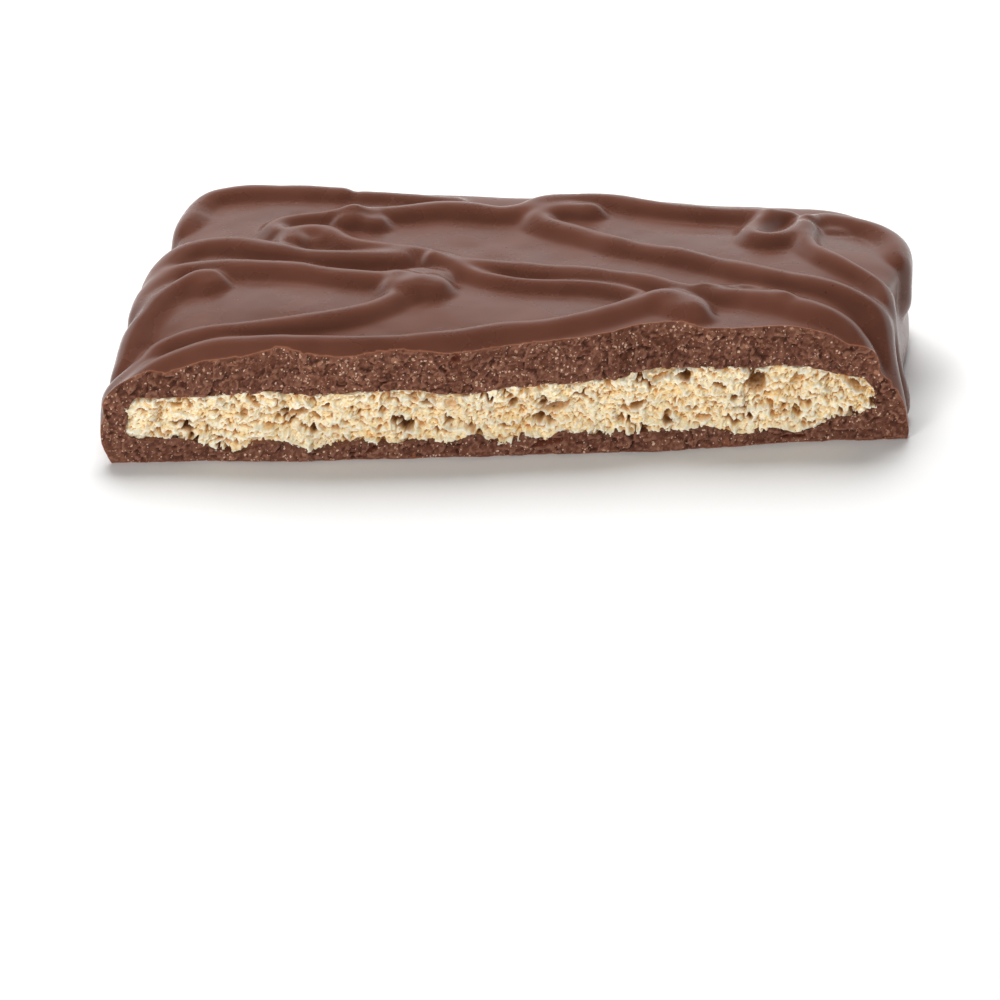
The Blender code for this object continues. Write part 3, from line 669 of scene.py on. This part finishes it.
def curve_through(route):
    """Points every ROPE_STEP along a Catmull-Rom curve through the route."""
    knots = np.array([p if len(p) == 3 else (*p, COAT_HEIGHT) for p in route], float)
    padded = np.vstack([2 * knots[0] - knots[1], knots, 2 * knots[-1] - knots[-2]])
    made = []
    for a, b, c, d in zip(padded, padded[1:], padded[2:], padded[3:]):
        count = max(2, int(np.linalg.norm(c - b) / ROPE_STEP))
        for t in np.linspace(0.0, 1.0, count, endpoint=False):
            made.append(
                0.5 * (2 * b + (c - a) * t + (2 * a - 5 * b + 4 * c - d) * t**2
                       + (3 * b - a - 3 * c + d) * t**3)
            )
    made.append(knots[-1])
    return np.array(made)


def tree_of(points):
    tree = KDTree(len(points))
    for index, point in enumerate(points):
        tree.insert(point, index)
    tree.balance()
    return tree


def surface_of(mesh):
    faces = [tuple(face.vertices) for face in mesh.polygons]
    return BVHTree.FromPolygons(mesh_points(mesh).tolist(), faces)


def drizzle(blank):
    """How far each point of the blank stands out under the strings, which pile up where they cross."""
    points = mesh_points(blank.data)
    surface = surface_of(blank.data)
    point_tree = tree_of(points)
    relief = np.zeros(len(points))
    strings = [(*string, ROPE_FULLNESS, ROPE_CLIMB) for string in ROPES.values()]
    strings += [(*blob, BLOB_FULLNESS, 0.0) for blob in BLOBS.values()]
    window = np.full(2 * ROPE_SETTLE + 1, 1.0 / (2 * ROPE_SETTLE + 1))
    for number, (half_width, height, route, fullness, climb) in enumerate(strings):
        line = np.array([surface.find_nearest(p)[0] for p in curve_through(route)])
        below = relief[[point_tree.find(p)[1] for p in line]]
        spread = np.convolve(np.pad(below, ROPE_SETTLE, mode="edge"), window, mode="valid")
        swell = 1.0 + waves(line, (ROPE_SWELL, ROPE_SWELL_LENGTH, ROPE_SEED + number))
        reach = half_width * ROPE_WIDEST
        near = ((points > line.min(0) - reach) & (points < line.max(0) + reach)).all(axis=1)
        line_tree = tree_of(line)
        for index in np.flatnonzero(near):
            _, closest, distance = line_tree.find(points[index])
            across = distance / (half_width * swell[closest])
            if across < 1.0:
                shape = (1.0 - across**fullness) ** ROPE_FOOT
                top = (height * swell[closest] + climb * spread[closest]) * shape
                relief[index] = (relief[index] ** 3 + top**3) ** (1 / 3)
    return melted(blank.data, relief)


def melted(mesh, relief):
    """The relief after the chocolate flowed a little: its creases are filled and its tops lowered."""
    edges = mesh_edges(mesh)
    for _ in range(MELT_ROUNDS):
        relief = 0.5 * relief + 0.5 * neighbour_mean(edges, relief)
    return relief


def raise_drizzle(blank):
    """Strings on the coat, and the faint waves that a coat keeps as it sets."""
    relief = drizzle(blank)
    points, normals = mesh_points(blank.data), mesh_normals(blank.data)
    skin = sum(height * grit(*points.T, length, seed) for height, length, seed in COAT_WAVES)
    points = points + normals * (relief + skin * ramp(points[:, 2], 0.0, 1.0))[:, None]
    points[:, 2] = np.maximum(points[:, 2], 0.0)
    set_mesh_points(blank.data, points)


# The break


def break_line(x, z):
    """Where the break lies in y, before its crags."""
    lean = np.interp(x, *np.transpose(BREAK_LEANS)) * ramp(z, 5.0, 9.0)
    foot = (0.5 + 0.9 * ramp(x, -30.0, -15.0) - 1.1 * ramp(x, 14.0, 27.0)) * ramp(z, 3.4, 0.0)
    return BREAK_MIDDLE + BREAK_SLOPE * x + lean - foot


def hollowed(x, z, hollows, uneven):
    """How deep the listed hollows are, deepest at the top: (x, z, half width, half height, depth, turn)."""
    depth = np.zeros(x.shape)
    for middle_x, middle_z, half_width, half_height, deep, turn in hollows:
        u, v = x - middle_x, z - middle_z
        along, over = u * np.cos(turn) + v * np.sin(turn), v * np.cos(turn) - u * np.sin(turn)
        away = np.hypot(along / half_width, over / half_height) + uneven
        lowered = 0.7 + 0.3 * np.clip(over / half_height, -1.0, 1.0)
        depth = depth + deep * lowered * np.sqrt(np.clip(1.0 - away**3, 0.0, None))
    return depth


def chocolate_crags(x, z, skin):
    """How far the snapped chocolate lies behind the break line. The crags fade out at the coat's skin."""
    flat = np.column_stack([x.ravel(), np.zeros(x.size), z.ravel()])
    y = waves(flat, *BREAK_WAVES).reshape(x.shape)
    warp = layered(x, z, 0.0, SNAP_WARP)
    crags = layered(x, z, warp, SNAP_LAYERS)
    places = np.column_stack([x.ravel(), (break_line(x, z) + y).ravel(), z.ravel()]).tolist()
    from_skin = np.array([skin.find_nearest(place)[3] for place in places]).reshape(x.shape)
    return y + crags * ramp(from_skin, -0.15, 0.3) + hollowed(x, z, CHOCOLATE_HOLLOWS, 0.12 * warp)


def block_before(x, z, y):
    """A block in front of the piece whose back face has these points."""
    number = np.arange(x.size).reshape(x.shape)
    corners = (number[:-1, :-1], number[1:, :-1], number[1:, 1:], number[:-1, 1:])
    faces = np.stack(corners, axis=-1).reshape(-1, 4)
    block = mesh_object("block", np.column_stack([x.ravel(), y.ravel(), z.ravel()]), faces.tolist())
    with edited(block.data) as work:
        made = bmesh.ops.extrude_face_region(work, geom=work.faces[:])
        for item in made["geom"]:
            if isinstance(item, bmesh.types.BMVert):
                item.co.y = CUT_FRONT * MM
        bmesh.ops.recalc_face_normals(work, faces=work.faces[:])
    return block


def chocolate_cutter(skin):
    across, up = np.arange(CUT_LEFT, CUT_RIGHT, BREAK_CELL), np.arange(CUT_BOTTOM, CUT_TOP, BREAK_CELL)
    x, z = np.meshgrid(across, up, indexing="ij")
    cutter = block_before(x, z, break_line(x, z) + chocolate_crags(x, z, skin))
    set_slot_of_faces(cutter, 1)
    return cutter


# The biscuit


def sunk(x, sags):
    """How deep the listed sags are at x: (x, half width, depth)."""
    return sum(deep * np.exp(-(((x - middle) / wide) ** 2)) for middle, wide, deep in sags)


def biscuit_top(x, y):
    raised = 1.05 * ramp(x, 3.0, 13.0) - 1.1 * ramp(x, 24.0, 30.0)
    return BISCUIT_TOP + raised - sunk(x, BISCUIT_DIPS) * ramp(y, 0.0, -10.0)


def biscuit_bottom(x, y):
    raised = 0.25 + 0.6 * ramp(x, 25.0, 31.0)
    return BISCUIT_BOTTOM + raised - sunk(x, BISCUIT_SAGS) * ramp(y, 0.0, -10.0)


def biscuit_distance(x, y, z):
    """Distance outside the biscuit near the break, negative inside, with its uneven skin."""
    middle = (BISCUIT_LEFT + BISCUIT_RIGHT) / 2
    across = np.abs(x - middle) - (BISCUIT_RIGHT - BISCUIT_LEFT) / 2 + BISCUIT_ROUND
    top, bottom = biscuit_top(x, y), biscuit_bottom(x, y)
    up = np.abs(z - (top + bottom) / 2) - (top - bottom) / 2 + BISCUIT_ROUND
    outer = np.hypot(np.maximum(across, 0.0), np.maximum(up, 0.0))
    plain = np.minimum(np.maximum(across, up), 0.0) + outer - BISCUIT_ROUND
    lower, ends = ramp(z, 4.5, 2.5), ramp(np.abs(x - middle), 27.0, 31.5)
    for height, more_low, more_ends, size, seed in BISCUIT_SKIN:
        plain = plain + (height + more_low * lower + more_ends * ends) * grit(x, y, z, size, seed)
    return plain


def crumb_grid(cell):
    """Stations in x, depth behind the break line, and z around the biscuit's front."""
    low = np.array([BISCUIT_LEFT - CRUMB_MARGIN, -CRUMB_BEFORE, -0.1])
    high = np.array([BISCUIT_RIGHT + CRUMB_MARGIN, CRUMB_DEPTH + 0.3, CRUMB_TOP])
    axes = [np.arange(a, b, cell) for a, b in zip(low, high)]
    return low, np.meshgrid(*axes, indexing="ij", sparse=True)


def biscuit_front(name, cell, overlap):
    """The biscuit before it broke, from just in front of the break to CRUMB_DEPTH behind it."""
    low, (x, depth, z) = crumb_grid(cell)
    field = biscuit_distance(x, break_line(x, z) + depth, z) - overlap
    field = np.maximum(field, depth - CRUMB_DEPTH)
    field[:, 0] = 1.0
    points, faces = surface_nets(field, low, cell)
    points[:, 1] += break_line(points[:, 0], points[:, 2])  # so far the depth behind the break line
    return mesh_object(name, points, faces.tolist())


def pocket_cutter():
    """The hollow that the biscuit's front leaves in the coat."""
    cutter = biscuit_front("pocket", POCKET_CELL, 0.0)
    set_slot_of_faces(cutter, 2)
    return cutter


def crumb_pores(x, z):
    """How deep the pores and hollows of the broken biscuit are."""
    drift = 0.5 * grain(x, z, 0.45, 38)
    depth = hollowed(x, z, CRUMB_VOIDS, 0.35 * grain(x, z, 0.4, 36))
    for scale, share, seed in CRUMB_PITS:
        found = pits(x + drift * scale, z - drift * scale, scale, share, seed)
        depth = np.maximum(depth, CRUMB_PIT_DEPTH * found)
    return depth


def crumb_relief(x, z):
    """How far the broken biscuit's face lies behind the break line: ledges, flakes, cracks and pores."""
    warp = layered(x, z, 0.0, CRUMB_WARP)
    cracked = ramp(grain(x, z, *CRUMB_CRACKED), 0.0, 0.25)
    y = 0.1 + layered(x, z, warp, CRUMB_LAYERS) + cracked * layered(x, z, warp, CRUMB_CRACKS)
    return np.clip(y + crumb_pores(x, z), -1.0, CRUMB_DEPTH - 0.3)


def crumb_cutter():
    across = np.arange(BISCUIT_LEFT - 1.0, BISCUIT_RIGHT + 1.0, CRUMB_CELL)
    x, z = np.meshgrid(across, np.arange(0.1, CRUMB_TOP - 0.1, CRUMB_CELL), indexing="ij")
    return block_before(x, z, break_line(x, z) + crumb_relief(x, z))


def rear_slab():
    """The rest of the biscuit, a plain slab that fills the coat behind the broken face."""
    xs = stations(BISCUIT_LEFT, BISCUIT_RIGHT, BISCUIT_EDGE, BISCUIT_CELL)
    ys = stations(BISCUIT_FRONT, BISCUIT_BACK, BISCUIT_EDGE, BISCUIT_CELL)
    zs = np.linspace(BISCUIT_BOTTOM, BISCUIT_TOP, BISCUIT_LAYERS)
    slab = cage("rear_slab", xs, ys, zs)
    points = mesh_points(slab.data)
    round_back(points, BISCUIT_LEFT, BISCUIT_RIGHT, BISCUIT_BACK)
    x, y, z = points.T
    x = x + 1.4 * ramp(x, -26.0, -32.0) * ramp(y, -15.0, -6.0)
    high = (z - BISCUIT_BOTTOM) / (BISCUIT_TOP - BISCUIT_BOTTOM)
    top, bottom = biscuit_top(x, y) - BISCUIT_TOP, biscuit_bottom(x, y) - BISCUIT_BOTTOM
    z = z + high * top + (1.0 - high) * bottom
    set_mesh_points(slab.data, np.column_stack([x, y, z]))
    smooth(slab, BISCUIT_LEVELS)
    start = Vector((0.0, BREAK_MIDDLE + CRUMB_DEPTH - SLAB_OVERLAP, 0.0)) * MM
    away = Vector((-BREAK_SLOPE, 1.0, 0.0)).normalized()
    with edited(slab.data) as work:
        everything = work.verts[:] + work.edges[:] + work.faces[:]
        made = bmesh.ops.bisect_plane(work, geom=everything, plane_co=start, plane_no=away, clear_inner=True)
        rim = [item for item in made["geom_cut"] if isinstance(item, bmesh.types.BMEdge)]
        bmesh.ops.holes_fill(work, edges=rim)
        bmesh.ops.recalc_face_normals(work, faces=work.faces[:])
    return slab


# Materials


class NodeTree:
    """Nodes that are added and linked by short calls."""

    def __init__(self, tree):
        self.nodes, self.links = tree.nodes, tree.links

    def node(self, kind, inputs=None, **settings):
        made = self.nodes.new(kind)
        for key, value in settings.items():
            setattr(made, key, value)
        for key, value in (inputs or {}).items():
            self.put(value, made.inputs[key])
        return made

    def put(self, value, socket):
        if isinstance(value, bpy.types.NodeSocket):
            self.links.new(value, socket)
        else:
            socket.default_value = value

    def map(self, value, start, end, low=0.0, high=1.0):
        inputs = {"Value": value, "From Min": start, "From Max": end, "To Min": low, "To Max": high}
        return self.node("ShaderNodeMapRange", inputs).outputs[0]

    def math(self, operation, first, second):
        return self.node("ShaderNodeMath", {0: first, 1: second}, operation=operation).outputs[0]


class Shader(NodeTree):
    """A material of its own, with the textures that the pieces use."""

    def __init__(self, name):
        self.material = bpy.data.materials.new(name)
        self.material.use_nodes = True
        super().__init__(self.material.node_tree)
        self.surface = self.nodes["Principled BSDF"]
        self.place = self.node("ShaderNodeTexCoord").outputs["Object"]

    def share(self, name):
        """The number that the mesh stores at each point under this name."""
        return self.node("ShaderNodeAttribute", attribute_name=name).outputs["Fac"]

    def noise(self, size, detail, roughness):
        """Noise with features of about this size in millimetres."""
        inputs = {"Vector": self.place, "Scale": 1.0 / (size * MM), "Detail": detail, "Roughness": roughness}
        return self.node("ShaderNodeTexNoise", inputs).outputs["Fac"]

    def cells(self, size):
        """Cells of about this size in millimetres, with uneven outlines."""
        inputs = {"Vector": self.place, "Scale": 2.5 / (size * MM), "Detail": 1.0}
        drift = self.node("ShaderNodeTexNoise", inputs).outputs["Color"]
        inputs = {0: drift, 1: (0.6 * size * MM,) * 3, 2: self.place}
        moved = self.node("ShaderNodeVectorMath", inputs, operation="MULTIPLY_ADD").outputs[0]
        return self.node("ShaderNodeTexVoronoi", {"Vector": moved, "Scale": 1.0 / (size * MM)})

    def mix(self, share, first, second):
        made = self.node("ShaderNodeMix", data_type="RGBA")
        for index, value in ((0, share), (6, first), (7, second)):
            self.put(value, made.inputs[index])
        return made.outputs[2]

    def tint(self, tone, value, start, end, most, colour):
        """Turns the tone towards a colour: not at all where the value is start, by this most at end."""
        return self.mix(self.map(value, start, end, 0.0, most), tone, srgb(colour))

    def bump(self, height, depth, strength=1.0, normal=None):
        inputs = {"Height": height, "Distance": depth * MM, "Strength": strength}
        if normal is not None:
            inputs["Normal"] = normal
        return self.node("ShaderNodeBump", inputs).outputs[0]


def srgb(colour):
    """A colour as seen on screen, 0 to 255, as the shader's linear colour."""
    share = np.array(colour) / 255.0
    linear = np.where(share <= 0.04045, share / 12.92, ((share + 0.055) / 1.055) ** 2.4)
    return (*linear.tolist(), 1.0)


def finished(shader, subsurface, **settings):
    """The material with these settings. Light spreads in it by subsurface: (weight, radius, scale)."""
    weight, radius, scale = subsurface
    settings.update(Subsurface_Weight=weight, Subsurface_Radius=radius, Subsurface_Scale=scale * MM)
    for name, value in settings.items():
        shader.put(value, shader.surface.inputs[name.replace("_", " ")])
    return shader.material


def coat_material():
    """Milk chocolate that set with a satin skin: smooth, a little uneven in tone and gloss, with a painted
    highlight along the break's edge.
    """
    shader = Shader("milk_chocolate_satin")
    clouds = shader.noise(6.0, 4.0, 0.55)
    tone = shader.mix(shader.map(clouds, 0.35, 0.65), srgb(COAT_DARK), srgb(COAT_PALE))
    # Painted highlight along the break's edge, where the rim share is high.
    tone = shader.tint(tone, shader.share("rim"), 0.4, 1.0, 0.75, COAT_RIM_HIGHLIGHT)
    gloss = shader.map(clouds, 0.3, 0.7, 0.24, 0.32)
    soft_waves = shader.bump(shader.noise(2.2, 1.0, 0.4), 0.03, 0.3)
    skin = shader.bump(shader.noise(0.35, 1.0, 0.4), 0.0025, 0.5, soft_waves)
    spread = (0.12, (1.0, 0.4, 0.22), 0.9)
    return finished(shader, spread, Base_Color=tone, Roughness=gloss, Normal=skin, IOR=1.46)


def break_material():
    """Snapped chocolate: matt, with pale specks and chips, painted shade in its creases, a painted highlight
    on its ridges, a painted highlight along its thin edge and a painted glow in its hollows.
    """
    shader = Shader("milk_chocolate_snapped")
    clouds = shader.noise(1.6, 4.0, 0.6)
    fine_grain = shader.noise(0.22, 3.0, 0.7)
    tone = shader.mix(shader.map(clouds, 0.3, 0.7), srgb(SNAP_DARK), srgb(SNAP_PALE))
    tone = shader.tint(tone, fine_grain, 0.52, 0.72, 0.45, SNAP_GRAIN_PALE)
    tone = shader.tint(tone, fine_grain, 0.48, 0.3, 0.4, SNAP_GRAIN_DARK)
    hollow = shader.share("hollow")
    # Painted shade in the dents and a painted highlight on the ridges.
    tone = shader.tint(tone, hollow, 0.0, 0.08, 0.7, SNAP_DENT_SHADE)
    tone = shader.tint(tone, hollow, -0.01, -0.06, 0.6, SNAP_RIDGE_HIGHLIGHT)
    for size, widest, share, colour in SNAP_SPECKS:
        cells = shader.cells(size)
        chosen = shader.map(cells.outputs["Color"], share, 1.0, 0.0, widest)
        chosen = shader.math("MULTIPLY", chosen, shader.map(clouds, 0.35, 0.6, 0.4, 1.0))
        speck = shader.math("LESS_THAN", cells.outputs["Distance"], chosen)
        tone = shader.mix(shader.math("MULTIPLY", speck, 0.85), tone, srgb(colour))
    # Painted highlight along the break's edge.
    tone = shader.tint(tone, shader.share("rim"), 0.45, 1.0, 0.8, SNAP_RIM_HIGHLIGHT)
    tone = shader.tint(tone, shader.share("glow"), 0.0, 1.0, 0.7, SNAP_GLOW)
    gloss = shader.map(fine_grain, 0.3, 0.7, 0.42, 0.66)
    rough = shader.bump(fine_grain, 0.08, 0.9, shader.bump(clouds, 0.12, 0.6))
    spread = (0.1, (1.0, 0.4, 0.25), 0.5)
    return finished(shader, spread, Base_Color=tone, Roughness=gloss, Normal=rough, Specular_IOR_Level=0.12)


def crumb_material():
    """Baked crumb: cream, with painted shade, tan, in its dents and a painted highlight on its ridges, brown
    deep in its pores, partly toasted colour and partly painted shade, with toasted flecks.
    """
    shader = Shader("graham_crumb_baked")
    clouds = shader.noise(1.8, 4.0, 0.6)
    fine_grain = shader.noise(0.16, 2.0, 0.6)
    hollow, pore = shader.share("hollow"), shader.share("pore")
    tone = shader.mix(shader.map(clouds, 0.35, 0.65), srgb(CRUMB_TAN), srgb(CRUMB_CREAM))
    for value, start, end, most, colour in (
        (shader.noise(0.6, 3.0, 0.6), 0.6, 0.72, 0.5, CRUMB_FLECK),
        (fine_grain, 0.5, 0.75, 0.4, CRUMB_GRAIN),
        # Painted shade in the dents and a painted highlight on the ridges.
        (hollow, 0.04, 0.2, 0.8, CRUMB_DENT_SHADE),
        (hollow, -0.02, -0.12, 0.7, CRUMB_RIDGE_HIGHLIGHT),
        # Darker deeper in the pores: partly the crumb's toasted colour, partly painted shade.
        (pore, 0.12, 0.45, 0.6, PORE_SHALLOW_TOAST_AND_SHADE),
        (pore, 0.4, 0.95, 0.85, PORE_DEEP_TOAST_AND_SHADE),
    ):
        tone = shader.tint(tone, value, start, end, most, colour)
    rough, spread = shader.bump(fine_grain, 0.06, 0.8), (0.12, (1.0, 0.6, 0.35), 0.2)
    return finished(shader, spread, Base_Color=tone, Roughness=0.85, Normal=rough, Specular_IOR_Level=0.1)


def floor_material():
    shader = Shader("white_paper")
    shader.put(srgb(FLOOR_WHITE), shader.surface.inputs["Base Color"])
    shader.put(0.6, shader.surface.inputs["Roughness"])
    return shader.material


# Building


def set_sharp(thing, angle):
    """Smooth shading, with sharp edges where the surface turns or the material changes."""
    thing.data.shade_smooth()
    thing.data.set_sharp_from_angle(angle=np.radians(angle))
    with edited(thing.data) as work:
        for edge in work.edges:
            if len({face.material_index for face in edge.link_faces}) > 1:
                edge.smooth = False


def rim_highlight_shares(coat, skin):
    """Where the highlight along the break's edge is painted: 1 at the edge between the coat's skin and the
    break, falling to 0 away from it.
    """
    mesh = coat.data
    points = mesh_points(mesh)
    share = np.zeros(len(points))
    of_slot = np.zeros((3, len(points)), bool)
    for face in mesh.polygons:
        of_slot[face.material_index, list(face.vertices)] = True
    whole, broken, _ = of_slot
    edge_tree = tree_of(points[broken & whole])
    near_break = points[:, 1] < break_line(points[:, 0], points[:, 2]) + RIM_HIGHLIGHT_REACH
    for index in np.flatnonzero(near_break | broken):
        if broken[index]:
            share[index] = np.exp(-skin.find_nearest(points[index])[3] / RIM_HIGHLIGHT_ON_BREAK)
        else:
            share[index] = np.exp(-edge_tree.find(points[index])[2] / RIM_HIGHLIGHT_ON_SKIN)
    return share


def glow_shares(points):
    """1 in the hollows of the snapped chocolate, where its walls are thin, falling to 0 round them."""
    x, _, z = points.T
    return np.clip(hollowed(x, z, CHOCOLATE_HOLLOWS, 0.0) / GLOW_DEPTH, 0.0, 1.0)


def build_coat():
    coat = coat_blank()
    raise_drizzle(coat)
    close_below(coat)
    set_slot_of_faces(coat, 0)
    skin = surface_of(coat.data)
    cut(coat, chocolate_cutter(skin))
    cut(coat, pocket_cutter())
    rear = rear_slab()
    set_slot_of_faces(rear, 2)
    cut(coat, rear)
    drop_specks(coat)
    # Shares for the painted highlight along the break's edge and for the painted glow in the hollows.
    add_shares(coat.data, "rim", rim_highlight_shares(coat, skin))
    add_shares(coat.data, "glow", glow_shares(mesh_points(coat.data)))
    # How far each point lies in a dent or on a ridge, for painted shade in the dents and a painted highlight
    # on the ridges of the snapped chocolate.
    add_shares(coat.data, "hollow", hollowness(coat.data, COAT_DENT_ROUNDS))
    set_sharp(coat, SHARP_ANGLE)
    snapped = break_material()
    for index, made in enumerate((coat_material(), snapped, snapped)):
        coat.data.materials[index] = made
    return coat


def build_biscuit():
    biscuit = biscuit_front("biscuit", SKIN_CELL, CRUMB_OVERLAP)
    cut(biscuit, crumb_cutter())
    drop_specks(biscuit)
    rear = rear_slab()
    with edited(biscuit.data) as work:
        work.from_mesh(rear.data)
    bpy.data.objects.remove(rear)
    biscuit.data.materials.clear()
    biscuit.data.materials.append(crumb_material())
    points = mesh_points(biscuit.data)
    # Pore depth, for colour that is partly the crumb's toasted colour and partly painted shade.
    add_shares(biscuit.data, "pore", crumb_pores(points[:, 0], points[:, 2]))
    # How far each point lies in a dent or on a ridge, for painted shade in the dents and a painted highlight
    # on the ridges.
    add_shares(biscuit.data, "hollow", hollowness(biscuit.data, CRUMB_DENT_ROUNDS))
    biscuit.data.shade_smooth()
    return biscuit


def build_stage():
    bpy.ops.mesh.primitive_plane_add(size=FLOOR_SIZE * MM)
    floor = bpy.context.object
    floor.name = "floor"
    floor.data.materials.append(floor_material())
    floor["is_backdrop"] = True


def aim(thing, target):
    away = Vector(target) * MM - thing.location
    thing.rotation_euler = away.to_track_quat("-Z", "Y").to_euler()


def build_lamps():
    """A soft lamp above and behind, a low one and a small one in front."""
    for name, (place, target, size, power, mirrored) in LAMPS.items():
        lamp = bpy.data.lights.new(name, "AREA")
        lamp.shape = "RECTANGLE"
        lamp.size, lamp.size_y = size[0] * MM, size[1] * MM
        lamp.energy = power
        thing = add_object(name, lamp)
        thing.location = Vector(place) * MM
        thing.visible_camera = False
        thing.visible_glossy = mirrored
        aim(thing, target)


def build_walls():
    """The light of white walls, which are palest low down behind."""
    world = bpy.data.worlds.new("studio")
    bpy.context.scene.world = world
    world.use_nodes = True
    walls = NodeTree(world.node_tree)
    direction = walls.node("ShaderNodeTexCoord").outputs["Generated"]
    split = walls.node("ShaderNodeSeparateXYZ", {0: direction}).outputs
    by_height = walls.map(split["Z"], *WALLS_BY_HEIGHT)
    by_depth = walls.map(split["Y"], *WALLS_BY_DEPTH, WALLS_IN_FRONT)
    level = walls.math("MULTIPLY", by_height, by_depth)
    background = walls.nodes["Background"]
    walls.put(srgb((255, 255, 255)), background.inputs["Color"])
    walls.put(walls.map(level, 0.0, 1.0, WALLS_DARKEST, WALLS_PALEST), background.inputs["Strength"])


def build_camera():
    data = bpy.data.cameras.new("camera")
    data.lens, data.sensor_width = CAMERA_LENS, CAMERA_SENSOR
    data.clip_start, data.clip_end = CAMERA_NEAR * MM, CAMERA_FAR * MM
    camera = add_object("camera", data)
    camera.location = Vector(CAMERA_PLACE - CENTRE) * MM
    aim(camera, CAMERA_TARGET - CENTRE)
    bpy.context.scene.camera = camera


def report(thing):
    thing.data.calc_loop_triangles()
    print(thing.name, len(thing.data.loop_triangles), "triangles")


def main():
    build_camera()
    build_lamps()
    build_walls()
    build_stage()
    coat = build_coat()
    biscuit = build_biscuit()
    for piece, node, slot in (
        (coat, "chocolate_coat", "milk_chocolate"),
        (biscuit, "graham_biscuit", "graham_crumb"),
    ):
        set_mesh_points(piece.data, mesh_points(piece.data) - CENTRE)
        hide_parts(node)
        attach(piece, "root")
        report(piece)
    bpy.context.scene.view_settings.view_transform = "Standard"


main()
visual_low, visual_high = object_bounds()
corners = (cad_low, cad_high, visual_low, visual_high)
[list(corner) for corner in corners]
